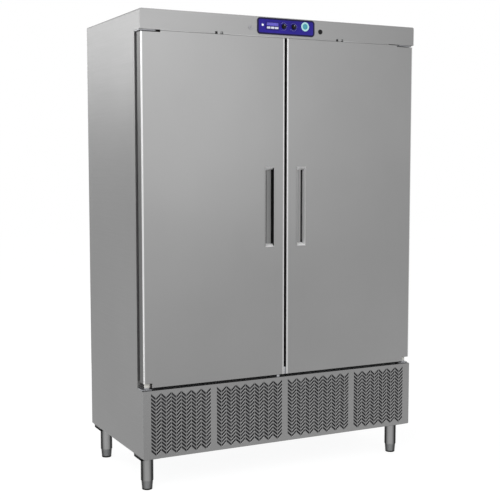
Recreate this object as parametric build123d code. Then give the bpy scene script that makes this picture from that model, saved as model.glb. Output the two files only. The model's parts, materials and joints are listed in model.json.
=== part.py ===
from build123d import *
import math
import os

# Two-door upright fridge freezer on legs: refrigerator on the left, freezer on the right.
# Millimetres. X runs to the right, Y to the back and Z up. The origin is on the floor, under the middle of
# the whole thing. The header, the doors and the grille panel share one front plane at FRONT_Y.

# Whole cabinet
CABINET_WIDTH = 1385.0
CABINET_DEPTH = 706.0
CABINET_HEIGHT = 2070.0
LEG_LENGTH = 155.0
BASE_HEIGHT = 300.0
HEADER_HEIGHT = 85.0
TOP_RECESS = 20.0

# Sheet metal
SHEET = 1.2
FRAME_SHEET = 2.0
SIDE_FLANGE = 20.0
TOP_BEND_RADIUS = 8.0
BASE_BEND_RADIUS = 6.0
TOP_RIB_FOOT_WIDTH = 28.0
TOP_RIB_CREST_WIDTH = 14.0
TOP_RIB_HEIGHT = 4.0
TOP_RIB_LENGTH_SHARE = 0.7

# Insulated body
SIDE_WALL = 60.0
BACK_WALL = 60.0
FLOOR_WALL = 57.0
ROOF_WALL = 112.0
CENTRE_POST = 88.0
LINER_RADIUS = 12.0

# Doors
DOOR_THICKNESS = 52.0
GASKET_THICKNESS = 13.7
GASKET_CLEARANCE = 0.3
DOOR_SIDE_INSET = 6.0
DOOR_GAP_TOP = 2.0
DOOR_GAP_BOTTOM = 12.0
DOOR_GAP_MIDDLE = 13.0
DOOR_EDGE_RADIUS = 2.5
GASKET_INSET = 20.0
GASKET_WIDTH = 16.0
GASKET_FOOT_WIDTH = 8.0
GASKET_FOOT_HEIGHT = 5.0
FIELD_MARGIN = 14.0
FIELD_REACH = 6.0
FIELD_RADIUS = 14.0

# Door hinges
HINGE_INSET = 22.0
HINGE_SETBACK = 24.0
HINGE_PIN_RADIUS = 6.0
PIN_CLEARANCE = 0.05
BUSH_RADIUS = 13.0
TOP_NOTCH_WIDTH = 86.0
TOP_NOTCH_HEIGHT = 7.0
TOP_BUSH_LENGTH = 34.0
BOTTOM_NOTCH_WIDTH = 38.0
BOTTOM_NOTCH_HEIGHT = 20.0
BRACKET_THICKNESS = 5.0
BRACKET_REACH = 58.0
BRACKET_CORNER = 8.0
TOP_BRACKET_WIDTH = 80.0
BOTTOM_BRACKET_WIDTH = 50.0
CAM_HEIGHT = 8.0
CAM_CLEARANCE = 0.3

# Recessed door handles
HANDLE_LIP_INSET = 52.5
HANDLE_OPENING_WIDTH = 44.0
HANDLE_BOTTOM = 1054.0
HANDLE_OPENING_HEIGHT = 358.0
HANDLE_DEPTH = 32.0
HANDLE_WALL = 2.0
HANDLE_UNDERCUT = 7.0
HANDLE_NOSE = 3.0
HANDLE_NOSE_THICKNESS = 7.0
HANDLE_NOSE_BEVEL = 2.0
HANDLE_END_SLOPE = 11.0
HANDLE_SIDE_SLOPE = 3.0

# Control panel on the header
PANEL_WIDTH = 290.0
PANEL_HEIGHT = 72.0
PANEL_RADIUS = 15.0
PANEL_PROUD = 2.0
PANEL_CENTRE_RISE = 45.5
PANEL_FRAME_MARGIN = 14.0
PANEL_FRAME_RADIUS = 5.0

# Temperature controller
CONTROLLER_X = -70.0
CONTROLLER_RISE = 54.0
CONTROLLER_WIDTH = 66.0
CONTROLLER_HEIGHT = 34.0
CONTROLLER_RADIUS = 3.0
CONTROLLER_PROUD = 1.8
CONTROLLER_LIP = 2.0
CONTROLLER_DEPTH = 56.0
DISPLAY_WIDTH = 58.0
DISPLAY_HEIGHT = 13.0
DISPLAY_RISE = 7.5
DISPLAY_DEPTH = 2.0
BUTTON_COUNT = 3
BUTTON_WIDTH = 17.0
BUTTON_HEIGHT = 9.0
BUTTON_PITCH = 20.0
BUTTON_DROP = 8.0
BUTTON_LENGTH = 5.0
BUTTON_PROUD = 1.0
BUTTON_TRAVEL = 0.8
BUTTON_CLEARANCE = 0.2

# Thermostat knobs
KNOB_X = (-14.0, 36.0)
KNOB_RISE = 48.0
KNOB_RADIUS = 11.0
KNOB_GRIP_RADIUS = 8.8
KNOB_SKIRT = 3.0
KNOB_REACH = 14.0
KNOB_RIDGE_WIDTH = 4.0
KNOB_RIDGE_SETBACK = 1.5
KNOB_SHAFT_RADIUS = 3.0
KNOB_SHAFT_LENGTH = 16.0
KNOB_GAP = 0.4
BUSHING_RADIUS = 5.0
BUSHING_PROUD = 2.0
THERMOSTAT_WIDTH = 32.0
THERMOSTAT_HEIGHT = 40.0
THERMOSTAT_DEPTH = 30.0

# Pilot lamps on the panel: centre X, rise above the header's lower edge, lens radius, bezel radius
SMALL_LAMP = (-119.0, 49.0, 4.0, 5.5)
LARGE_LAMP = (96.0, 53.0, 12.0, 20.0)
LAMP_PROUD = 2.4
LAMP_DEPTH = 22.0

# Key locks in the header
LOCK_X = 176.5
LOCK_RISE = 35.0
LOCK_COLLAR_RADIUS = 11.0
LOCK_COLLAR_PROUD = 1.6
LOCK_BARREL_RADIUS = 9.5
LOCK_PLUG_RADIUS = 7.0
LOCK_BARREL_LENGTH = 26.0
LOCK_FACE_PROUD = 0.4
CAM_THICKNESS = 3.0
CAM_LENGTH = 52.0
CAM_WIDTH = 14.0
CAM_SLOT_CLEARANCE = 2.0
KEYWAY_WIDTH = 2.2
KEYWAY_HEIGHT = 8.0

# Door sensors at the header's lower edge
SENSOR_X = (-329.0, 280.0)
SENSOR_NOSE_RADIUS = 4.5
SENSOR_NOSE_PITCH = 26.0
SENSOR_NOSE_RISE = 3.0
SENSOR_CLEARANCE = 1.0
SENSOR_BODY = (42.0, 16.0, 12.0)

# Frame of the machine compartment
PAN_FLANGE = 18.0
POST_WIDTH = 30.0
POST_SHEET = 3.0

# Grille panel: fields of slanted slots, their columns and rows
GRILLE_FIELD_COLUMNS = (6, 7, 7, 6)
GRILLE_ROWS = 8
GRILLE_SIDE_MARGIN = 36.0
GRILLE_END_MARGIN = 20.4
GRILLE_FIELD_GAP = 28.0
SLOT_RUN = 30.0
SLOT_RISE = 24.0
SLOT_WIDTH = 11.0
GRILLE_FOLD = 12.0

# Rear cover of the machine compartment
REAR_INSET = 14.0
REAR_SLOT_COUNT = 6
REAR_SLOT_WIDTH = 10.0
REAR_SLOT_HEIGHT = 190.0
REAR_SLOT_PITCH = 44.0
REAR_FIELD_X = 330.0
GLAND_INSET = 132.5
GLAND_RISE = 60.0
GLAND_RADIUS = 9.0
GLAND_NUT_RADIUS = 13.0
GLAND_NUT_THICKNESS = 6.0
GLAND_MOUTH_RADIUS = 4.5

# Legs and feet
LEG_INSET_X = 48.0
LEG_INSET_FRONT = 85.0
LEG_INSET_BACK = 72.0
LEG_RADIUS = 28.0
LEG_PLATE_WIDTH = 90.0
LEG_PLATE_THICKNESS = 3.0
FOOT_RADIUS = 26.0
FOOT_TIP_RADIUS = 22.5
FOOT_HEIGHT = 42.0
FOOT_FLATS = 24
FOOT_STEM_RADIUS = 12.0
FOOT_STEM_LENGTH = 70.0

# Shelves
SHELF_COUNT = 3
FIRST_SHELF_RISE = 245.0
SHELF_PITCH = 300.0
SHELF_FRONT_GAP = 38.8
SHELF_BACK_GAP = 20.0
SHELF_BAR = 7.0
SHELF_CROSS_BAR = 3.0
SHELF_WIRE = 4.0
SHELF_WIRE_COUNT = 8
SHELF_SIDE_GAP = 3.0
UPRIGHT_WIDTH = 22.0
UPRIGHT_DEPTH = 12.0
UPRIGHT_FRONT_GAP = 80.0
UPRIGHT_BACK_GAP = 86.8
UPRIGHT_FOOT_RISE = 25.0
UPRIGHT_TOP_GAP = 61.0
RUNNER_SHEET = 1.5
RUNNER_LEDGE = 16.0
RUNNER_HEIGHT = 20.0

# Evaporator units under each compartment's ceiling
UNIT_WIDTH = 476.0
UNIT_HEIGHT = 190.0
UNIT_SETBACK = 130.0
UNIT_REAR_GAP = 40.0
UNIT_SHEET = 1.5
UNIT_FAN_HOLE_RADIUS = 90.0
UNIT_GUARD_BAR = 5.0
UNIT_FAN_RADIUS = 84.0
UNIT_FAN_HUB_RADIUS = 22.0
UNIT_FAN_DEPTH = 20.0
UNIT_FAN_SETBACK = 12.0
UNIT_MOTOR_WIDTH = 64.0
UNIT_MOTOR_LENGTH = 45.0
UNIT_MOTOR_GAP = 6.0
UNIT_STRAP_WIDTH = 24.0
UNIT_STRAP_THICKNESS = 3.0
COIL_SETBACK = 150.0
COIL_DEPTH = 160.0
COIL_WIDTH = 380.0
COIL_HEIGHT = 150.0
COIL_FINS = 7

# Machine compartment, one condensing unit behind each half of the grille
CONDENSING_UNIT_X = 346.0
CONDENSER_WIDTH = 320.0
CONDENSER_HEIGHT = 228.0
CONDENSER_DEPTH = 50.0
CONDENSER_FINS = 8
CONDENSER_SETBACK = 20.0
SHROUD_SHEET = 2.0
SHROUD_HOLE_RADIUS = 104.0
CONDENSER_FAN_RADIUS = 98.0
CONDENSER_FAN_HUB_RADIUS = 26.0
CONDENSER_FAN_DEPTH = 24.0
CONDENSER_FAN_GAP = 12.0
CONDENSER_MOTOR_WIDTH = 72.0
CONDENSER_MOTOR_LENGTH = 55.0
CONDENSER_MOTOR_GAP = 8.0
MOTOR_SHAFT_RADIUS = 4.0
MOTOR_SHAFT_SETBACK = 2.0
STAY_WIDTH = 20.0
STAY_THICKNESS = 3.0
STAY_CLEARANCE = 12.0
COMPRESSOR_SETBACK = 306.0
COMPRESSOR_RADIUS = 78.0
COMPRESSOR_HEIGHT = 185.0
COMPRESSOR_DOME_HEIGHT = 42.0
COMPRESSOR_CROWN_RADIUS = 48.0
COMPRESSOR_PLATE_MARGIN = 12.0
COMPRESSOR_FOOT = 12.0
COMPRESSOR_FOOT_WIDTH = 22.0
COMPRESSOR_PLATE = 4.0
TERMINAL_BOX_RISE = 60.0
TERMINAL_BOX_HEIGHT = 65.0
TERMINAL_BOX_WIDTH = 56.0
TERMINAL_BOX_REACH = 28.0
PIPE_RADIUS = 5.0
PIPE_RISE = 255.0
LIQUID_PIPE_RADIUS = 2.5
LIQUID_PIPE_RUN = 66.0
DRIER_RADIUS = 13.0
DRIER_LENGTH = 110.0
DRIER_SETBACK = 60.0
TRAY_WIDTH = 300.0
TRAY_DEPTH = 120.0
TRAY_HEIGHT = 45.0
TRAY_WALL = 1.5
TRAY_REAR_GAP = 40.0
DRAIN_RADIUS = 8.0
DRAIN_X = 90.0
DRAIN_TIP_GAP = 25.0

# Fan blades
BLADE_COUNT = 5
BLADE_THICKNESS = 1.6
BLADE_PITCH_DEG = 32.0
BLADE_ROOT_SINK = 3.0
BLADE_TIP_POINT = 2.0

# Planes and levels worked out from the sizes above
HALF_WIDTH = CABINET_WIDTH / 2
FRONT_Y = -(CABINET_DEPTH + KNOB_REACH) / 2 + KNOB_REACH
BACK_Y = FRONT_Y + CABINET_DEPTH
DOOR_BACK_Y = FRONT_Y + DOOR_THICKNESS
FACE_Y = DOOR_BACK_Y + GASKET_THICKNESS + GASKET_CLEARANCE
INNER_X = HALF_WIDTH - SHEET
BASE_TOP = LEG_LENGTH + BASE_HEIGHT
HEADER_BOTTOM = CABINET_HEIGHT - HEADER_HEIGHT
TOP_PANEL_Z = CABINET_HEIGHT - TOP_RECESS
PAN_TOP = LEG_LENGTH + FRAME_SHEET
ROOM_U = (CENTRE_POST / 2, HALF_WIDTH - SIDE_WALL)
ROOM_Z = (BASE_TOP + FLOOR_WALL, TOP_PANEL_Z - ROOF_WALL)
ROOM_BACK_Y = BACK_Y - BACK_WALL
DOOR_U = (DOOR_GAP_MIDDLE / 2, HALF_WIDTH - DOOR_SIDE_INSET)
DOOR_Z = (BASE_TOP + DOOR_GAP_BOTTOM, HEADER_BOTTOM - DOOR_GAP_TOP)
HINGE_U = DOOR_U[1] - HINGE_INSET
HINGE_Y = FRONT_Y + HINGE_SETBACK
PANEL_FRONT_Y = FRONT_Y - PANEL_PROUD
PANEL_Z = HEADER_BOTTOM + PANEL_CENTRE_RISE
CONTROLLER_FRONT_Y = PANEL_FRONT_Y - CONTROLLER_PROUD
CONTROLLER_Z = HEADER_BOTTOM + CONTROLLER_RISE - DISPLAY_RISE
BUTTON_Z = CONTROLLER_Z - BUTTON_DROP
KNOB_Z = HEADER_BOTTOM + KNOB_RISE
LOCK_Z = HEADER_BOTTOM + LOCK_RISE
CAM_Y = FRONT_Y + LOCK_BARREL_LENGTH + CAM_CLEARANCE
UNIT_FRONT_Y = FACE_Y + UNIT_SETBACK
UNIT_AXIS_Z = ROOM_Z[1] - UNIT_HEIGHT / 2
CONDENSER_FRONT_Y = FRONT_Y + CONDENSER_SETBACK
SHROUD_Y = CONDENSER_FRONT_Y + CONDENSER_DEPTH
CONDENSER_FAN_Z = PAN_TOP + CONDENSER_HEIGHT / 2
COMPRESSOR_Y = SHROUD_Y + COMPRESSOR_SETBACK
GLAND_X = HALF_WIDTH - GLAND_INSET
GRILLE_SPAN = CABINET_WIDTH - 2 * GRILLE_SIDE_MARGIN
GRILLE_GAPS = GRILLE_FIELD_GAP * (len(GRILLE_FIELD_COLUMNS) - 1)
GRILLE_COLUMN_PITCH = (GRILLE_SPAN - GRILLE_GAPS) / sum(GRILLE_FIELD_COLUMNS)
GRILLE_ROW_PITCH = (BASE_HEIGHT - 2 * GRILLE_END_MARGIN) / GRILLE_ROWS


def slab(x, y, z):
    """Block between the two limits given for each axis."""
    size = [abs(pair[1] - pair[0]) for pair in (x, y, z)]
    centre = [(pair[0] + pair[1]) / 2 for pair in (x, y, z)]
    return Pos(*centre) * Box(*size)


def sided(side, u):
    """Limits along X of a span of distances u from the middle plane, on side -1 (left) or +1 (right)."""
    return (side * u[0], side * u[1])


def standing(sketch, x, z, y):
    """Sketch drawn as seen from the front, made solid between the two depths y."""
    plane = Plane(origin=(x, max(y), z), x_dir=(1, 0, 0), z_dir=(0, -1, 0))
    return extrude(plane * sketch, amount=abs(y[1] - y[0]))


def post(x, y, z, radius):
    """Upright cylinder between two heights."""
    return Pos(x, y, min(z)) * extrude(Circle(radius), amount=abs(z[1] - z[0]))


def outline(points):
    """Closed face through points given in order."""
    return make_face(Polyline(*points, close=True))


def door_outline(side, inset=0.0):
    """Door seen from the front, with its top and bottom hinge notches, drawn inwards by inset."""
    u0, u1 = DOOR_U[0] + inset, DOOR_U[1] - inset
    z0, z1 = DOOR_Z[0] + inset, DOOR_Z[1] - inset
    top_u = DOOR_U[1] - TOP_NOTCH_WIDTH - inset
    bottom_u = DOOR_U[1] - BOTTOM_NOTCH_WIDTH - inset
    notch_top = DOOR_Z[0] + BOTTOM_NOTCH_HEIGHT + inset
    notch_bottom = DOOR_Z[1] - TOP_NOTCH_HEIGHT - inset
    points = [
        (u0, z0), (bottom_u, z0), (bottom_u, notch_top), (u1, notch_top),
        (u1, notch_bottom), (top_u, notch_bottom), (top_u, z1), (u0, z1),
    ]
    return outline([(side * u, z) for u, z in points])


def handle_block(side):
    """Space in the door that the handle insert fills."""
    u0 = DOOR_U[0] + HANDLE_LIP_INSET - HANDLE_UNDERCUT - HANDLE_WALL
    u1 = DOOR_U[0] + HANDLE_LIP_INSET + HANDLE_OPENING_WIDTH + HANDLE_WALL
    z = (HANDLE_BOTTOM - HANDLE_WALL, HANDLE_BOTTOM + HANDLE_OPENING_HEIGHT + HANDLE_WALL)
    return slab(sided(side, (u0, u1)), (FRONT_Y + SHEET, FRONT_Y + HANDLE_DEPTH + HANDLE_WALL), z)


def handle_window(side, grow=0.0):
    """Opening that the handle insert shows through, cut in the door's front sheet."""
    u0 = DOOR_U[0] + HANDLE_LIP_INSET - grow
    u1 = DOOR_U[0] + HANDLE_LIP_INSET + HANDLE_OPENING_WIDTH + grow
    z = (HANDLE_BOTTOM - grow, HANDLE_BOTTOM + HANDLE_OPENING_HEIGHT + grow)
    return slab(sided(side, (u0, u1)), (FRONT_Y - 1, FRONT_Y + SHEET), z)


def cam_slot(side, z):
    """Room for the lock's cam to swing from outwards to straight down, through sheets between heights."""
    inner = LOCK_X - CAM_WIDTH / 2 - CAM_SLOT_CLEARANCE
    outer = LOCK_X + math.sqrt((CAM_LENGTH + CAM_SLOT_CLEARANCE) ** 2 - (LOCK_Z - max(z)) ** 2)
    y = (CAM_Y - CAM_SLOT_CLEARANCE, CAM_Y + CAM_THICKNESS + CAM_SLOT_CLEARANCE)
    return slab(sided(side, (inner, outer)), y, z)


def top_bush_z():
    """Heights of the bush in the door's top edge."""
    top = DOOR_Z[1] - TOP_NOTCH_HEIGHT
    return (top - TOP_BUSH_LENGTH, top)


def bottom_bush_z():
    """Heights of the bush under the door, in its bottom notch."""
    return (BASE_TOP + BRACKET_THICKNESS + CAM_HEIGHT + CAM_CLEARANCE, DOOR_Z[0] + BOTTOM_NOTCH_HEIGHT)


def bottom_pin_top():
    """Height that the lower hinge pin reaches."""
    return bottom_bush_z()[1] + TOP_BUSH_LENGTH / 2


def bent_section(side, spare):
    """Outer or inner outline of a side sheet's bends, seen from the front."""
    u = (HALF_WIDTH - SIDE_FLANGE - spare, HALF_WIDTH - spare)
    z = (LEG_LENGTH + spare, CABINET_HEIGHT - spare)
    sketch = outline([(side * u[0], z[0]), (side * u[1], z[0]), (side * u[1], z[1]), (side * u[0], z[1])])
    for height, radius in ((z[0], BASE_BEND_RADIUS - spare), (z[1], TOP_BEND_RADIUS - spare)):
        corner = sketch.vertices().sort_by_distance((side * u[1], height))[0]
        sketch = fillet(corner, radius)
    return sketch


def side_panel(side):
    """Side sheet with rounded bends into its top and bottom flanges, cut back behind the door."""
    y = (FRONT_Y + SHEET, BACK_Y - SHEET)
    panel = standing(bent_section(side, 0), 0, 0, y)
    panel -= standing(bent_section(side, SHEET), 0, 0, (y[0] - 1, y[1] + 1))
    door_side = (HALF_WIDTH - SIDE_FLANGE - 1, HALF_WIDTH + 1)
    return panel - slab(sided(side, door_side), (FRONT_Y - 1, FACE_Y), (BASE_TOP, HEADER_BOTTOM))


def back_panel():
    """Back sheet of the insulated body, its top corners rounded like the bends beside them."""
    height = CABINET_HEIGHT - BASE_TOP
    sheet = standing(Rectangle(CABINET_WIDTH, height), 0, BASE_TOP + height / 2, (BACK_Y - SHEET, BACK_Y))
    upper = sheet.edges().filter_by(Axis.Y).sort_by(Axis.Z)[-2:]
    return fillet(upper, TOP_BEND_RADIUS)


def top_panel():
    """Recessed top sheet with five shallow stiffening ribs across it."""
    y = (FACE_Y + SHEET, BACK_Y - SHEET)
    sheet = slab((-INNER_X, INNER_X), y, (TOP_PANEL_Z - SHEET, TOP_PANEL_Z))
    rib_length = TOP_RIB_LENGTH_SHARE * (y[1] - y[0])
    middle_y = (y[0] + y[1]) / 2
    foot, crest = TOP_RIB_FOOT_WIDTH / 2, TOP_RIB_CREST_WIDTH / 2
    rib_section = outline([(-foot, 0), (foot, 0), (crest, TOP_RIB_HEIGHT), (-crest, TOP_RIB_HEIGHT)])
    for step in range(-2, 3):
        rib_y = (middle_y - rib_length / 2, middle_y + rib_length / 2)
        sheet += standing(rib_section, step * CABINET_WIDTH / 6, TOP_PANEL_Z, rib_y)
    return sheet


def room_block(side, y, shrink=0.0):
    """Compartment's space between two depths, its corners rounded as seen from the front."""
    width = ROOM_U[1] - ROOM_U[0] - 2 * shrink
    height = ROOM_Z[1] - ROOM_Z[0] - 2 * shrink
    sketch = RectangleRounded(width, height, LINER_RADIUS - shrink)
    return standing(sketch, side * (ROOM_U[0] + ROOM_U[1]) / 2, (ROOM_Z[0] + ROOM_Z[1]) / 2, y)


def cabinet_foam():
    """Foamed walls, floor, roof and centre wall round the two compartments."""
    z = (BASE_TOP + SHEET, TOP_PANEL_Z - SHEET)
    block = slab((-INNER_X, INNER_X), (FACE_Y + SHEET, BACK_Y - SHEET), z)
    for side in (-1, 1):
        block -= room_block(side, (FACE_Y, ROOM_BACK_Y))
    return block


def liner(side):
    """Steel tub that lines one compartment."""
    hollow = room_block(side, (FACE_Y - 1, ROOM_BACK_Y - SHEET), SHEET)
    return room_block(side, (FACE_Y, ROOM_BACK_Y)) - hollow


def front_frame():
    """Steel face that the gaskets close on, folded under the insulated body."""
    face = slab((-INNER_X, INNER_X), (FACE_Y, FACE_Y + SHEET), (BASE_TOP, TOP_PANEL_Z - SHEET))
    for side in (-1, 1):
        face -= room_block(side, (FACE_Y - 1, FACE_Y + SHEET + 1))
    return face + slab((-INNER_X, INNER_X), (FACE_Y, BACK_Y - SHEET), (BASE_TOP, BASE_TOP + SHEET))


def header_fascia():
    """Folded header over the doors, open at the back, with cut-outs for the controls, locks and sensors."""
    inner = HALF_WIDTH - SIDE_FLANGE
    front_z = (HEADER_BOTTOM, CABINET_HEIGHT)
    front = slab((-HALF_WIDTH, HALF_WIDTH), (FRONT_Y, FRONT_Y + SHEET), front_z)
    front = fillet(front.edges().filter_by(Axis.Y).sort_by(Axis.Z)[-2:], TOP_BEND_RADIUS)
    channel = slab((-inner, inner), (FRONT_Y, FACE_Y + SHEET), front_z)
    hollow_z = (HEADER_BOTTOM + SHEET, CABINET_HEIGHT - SHEET)
    channel -= slab((-inner, inner), (FRONT_Y + SHEET, FACE_Y), hollow_z)
    channel -= slab((-inner, inner), (FACE_Y, FACE_Y + 2 * SHEET), (HEADER_BOTTOM, TOP_PANEL_Z))
    fascia = front + channel
    opening_size = (PANEL_WIDTH - 2 * PANEL_FRAME_MARGIN, PANEL_HEIGHT - PANEL_FRAME_MARGIN)
    opening = RectangleRounded(*opening_size, PANEL_FRAME_RADIUS)
    fascia -= standing(opening, 0, PANEL_Z, (FRONT_Y - 1, FRONT_Y + SHEET + 1))
    through = (FRONT_Y - 1, FRONT_Y + SHEET + 1)
    for side in (-1, 1):
        fascia -= standing(Circle(LOCK_BARREL_RADIUS), side * LOCK_X, LOCK_Z, through)
        fascia -= cam_slot(side, (HEADER_BOTTOM - 1, HEADER_BOTTOM + SHEET + 1))
    nose_room = SENSOR_NOSE_RADIUS + SENSOR_CLEARANCE
    nose_y = (FRONT_Y - 1, FRONT_Y + SHEET + SENSOR_BODY[2])
    nose_z = (HEADER_BOTTOM - 1, HEADER_BOTTOM + SENSOR_NOSE_RISE + nose_room)
    for middle in SENSOR_X:
        for shift in (-0.5, 0.5):
            x = middle + shift * SENSOR_NOSE_PITCH
            fascia -= slab((x - nose_room, x + nose_room), nose_y, nose_z)
    return fascia


def control_panel():
    """Rounded plate on the header with its cut-outs for the controller, knobs and lamps."""
    y = (PANEL_FRONT_Y, FRONT_Y)
    through = (PANEL_FRONT_Y - 1, FRONT_Y + 1)
    plate = standing(RectangleRounded(PANEL_WIDTH, PANEL_HEIGHT, PANEL_RADIUS), 0, PANEL_Z, y)
    rim = plate.faces().sort_by(Axis.Y)[0].outer_wire().edges()
    plate = chamfer(rim, PANEL_PROUD / 2)
    body = Rectangle(CONTROLLER_WIDTH - 2 * CONTROLLER_LIP, CONTROLLER_HEIGHT - 2 * CONTROLLER_LIP)
    plate -= standing(body, CONTROLLER_X, CONTROLLER_Z, through)
    for x in KNOB_X:
        plate -= standing(Circle(BUSHING_RADIUS), x, KNOB_Z, through)
    for x, rise, lens, bezel in (SMALL_LAMP, LARGE_LAMP):
        plate -= standing(Circle(lens), x, HEADER_BOTTOM + rise, through)
    return plate


def controller():
    """Controller's bezel and body, with the display's recess and a pocket behind each button."""
    body_size = (CONTROLLER_WIDTH - 2 * CONTROLLER_LIP, CONTROLLER_HEIGHT - 2 * CONTROLLER_LIP)
    bezel = standing(
        RectangleRounded(CONTROLLER_WIDTH, CONTROLLER_HEIGHT, CONTROLLER_RADIUS), CONTROLLER_X, CONTROLLER_Z,
        (CONTROLLER_FRONT_Y, PANEL_FRONT_Y),
    )
    body_y = (PANEL_FRONT_Y, PANEL_FRONT_Y + CONTROLLER_DEPTH)
    body = standing(Rectangle(*body_size), CONTROLLER_X, CONTROLLER_Z, body_y)
    whole = bezel + body
    whole -= display_block()
    depth = BUTTON_LENGTH - BUTTON_PROUD + BUTTON_TRAVEL + BUTTON_CLEARANCE
    pocket = Rectangle(BUTTON_WIDTH + 2 * BUTTON_CLEARANCE, BUTTON_HEIGHT + 2 * BUTTON_CLEARANCE)
    for x in button_places():
        whole -= standing(pocket, x, BUTTON_Z, (CONTROLLER_FRONT_Y - 1, CONTROLLER_FRONT_Y + depth))
    return whole


def display_block():
    """Display lens, flush in the controller's bezel."""
    return standing(
        Rectangle(DISPLAY_WIDTH, DISPLAY_HEIGHT), CONTROLLER_X, CONTROLLER_Z + DISPLAY_RISE,
        (CONTROLLER_FRONT_Y, CONTROLLER_FRONT_Y + DISPLAY_DEPTH),
    )


def button_places():
    """Centres of the buttons along X."""
    first = CONTROLLER_X - (BUTTON_COUNT - 1) * BUTTON_PITCH / 2
    return [first + step * BUTTON_PITCH for step in range(BUTTON_COUNT)]


def button(x):
    """One push button, proud of the bezel, with a softened front edge."""
    y0 = CONTROLLER_FRONT_Y - BUTTON_PROUD
    cap = standing(Rectangle(BUTTON_WIDTH, BUTTON_HEIGHT), x, BUTTON_Z, (y0, y0 + BUTTON_LENGTH))
    return chamfer(cap.faces().sort_by(Axis.Y)[0].edges(), BUTTON_PROUD / 2)


def thermostat(x):
    """Thermostat body behind the header, with the bushing that carries the knob's shaft."""
    back = (FRONT_Y + SHEET, FRONT_Y + SHEET + THERMOSTAT_DEPTH)
    whole = standing(Rectangle(THERMOSTAT_WIDTH, THERMOSTAT_HEIGHT), x, KNOB_Z, back)
    whole += standing(Circle(BUSHING_RADIUS), x, KNOB_Z, (PANEL_FRONT_Y - BUSHING_PROUD, back[0]))
    mouth = PANEL_FRONT_Y - BUSHING_PROUD
    bore_y = (mouth - 1, mouth - KNOB_GAP + KNOB_SHAFT_LENGTH + 1)
    return whole - standing(Circle(KNOB_SHAFT_RADIUS + PIN_CLEARANCE), x, KNOB_Z, bore_y)


def knob(x):
    """Thermostat knob: skirt, tapered grip with a pointer ridge, and its shaft."""
    tip = FRONT_Y - KNOB_REACH
    back = PANEL_FRONT_Y - BUSHING_PROUD - KNOB_GAP
    whole = standing(Circle(KNOB_RADIUS), x, KNOB_Z, (back - KNOB_SKIRT, back))
    grip = standing(Circle(KNOB_GRIP_RADIUS), x, KNOB_Z, (tip, back - KNOB_SKIRT))
    ridge_length = KNOB_RADIUS + KNOB_GRIP_RADIUS
    ridge_z = (KNOB_Z - KNOB_GRIP_RADIUS, KNOB_Z - KNOB_GRIP_RADIUS + ridge_length)
    ridge_x = (x - KNOB_RIDGE_WIDTH / 2, x + KNOB_RIDGE_WIDTH / 2)
    ridge = slab(ridge_x, (tip + KNOB_RIDGE_SETBACK, back - KNOB_SKIRT), ridge_z)
    shaft = standing(Circle(KNOB_SHAFT_RADIUS), x, KNOB_Z, (back, back + KNOB_SHAFT_LENGTH))
    return whole + grip + ridge + shaft


def pilot_lamp(x, rise, lens_radius, bezel_radius):
    """Round lamp: bezel ring and raised lens in front, holder behind the panel."""
    z = HEADER_BOTTOM + rise
    ring = standing(Circle(bezel_radius), x, z, (PANEL_FRONT_Y - LAMP_PROUD / 2, PANEL_FRONT_Y))
    lens = standing(Circle(lens_radius), x, z, (PANEL_FRONT_Y - LAMP_PROUD, FRONT_Y + LAMP_DEPTH))
    return ring + lens


def lock_barrel(side):
    """Fixed lock barrel with its collar on the header's front."""
    x = side * LOCK_X
    whole = standing(Circle(LOCK_BARREL_RADIUS), x, LOCK_Z, (FRONT_Y, FRONT_Y + LOCK_BARREL_LENGTH))
    whole += standing(Circle(LOCK_COLLAR_RADIUS), x, LOCK_Z, (FRONT_Y - LOCK_COLLAR_PROUD, FRONT_Y))
    bore_y = (FRONT_Y - LOCK_COLLAR_PROUD - 1, FRONT_Y + LOCK_BARREL_LENGTH + 1)
    return whole - standing(Circle(LOCK_PLUG_RADIUS + PIN_CLEARANCE), x, LOCK_Z, bore_y)


def lock_plug(side):
    """Turning plug with its keyway, and the cam that swings down into the door."""
    x = side * LOCK_X
    front = FRONT_Y - LOCK_COLLAR_PROUD - LOCK_FACE_PROUD
    cam_back = CAM_Y + CAM_THICKNESS
    plug = standing(Circle(LOCK_PLUG_RADIUS), x, LOCK_Z, (front, cam_back))
    keyway = Rectangle(KEYWAY_WIDTH, KEYWAY_HEIGHT)
    plug -= standing(keyway, x, LOCK_Z, (front - 1, front + LOCK_BARREL_LENGTH / 2))
    straight = CAM_LENGTH - CAM_WIDTH / 2
    cam = standing(Rectangle(straight, CAM_WIDTH), x + side * straight / 2, LOCK_Z, (CAM_Y, cam_back))
    cam += standing(Circle(CAM_WIDTH / 2), x + side * straight, LOCK_Z, (CAM_Y, cam_back))
    return plug + cam


def door_sensor(middle):
    """Door sensor behind the header's front, its two noses in the lower edge."""
    width, height, depth = SENSOR_BODY
    y0 = FRONT_Y + SHEET
    body_z = HEADER_BOTTOM + SHEET
    whole = slab((middle - width / 2, middle + width / 2), (y0, y0 + depth), (body_z, body_z + height))
    for shift in (-0.5, 0.5):
        x = middle + shift * SENSOR_NOSE_PITCH
        nose_y = (FRONT_Y + SHEET / 2, FRONT_Y + SENSOR_BODY[2])
        whole += standing(Circle(SENSOR_NOSE_RADIUS), x, HEADER_BOTTOM + SENSOR_NOSE_RISE, nose_y)
    return whole


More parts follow.
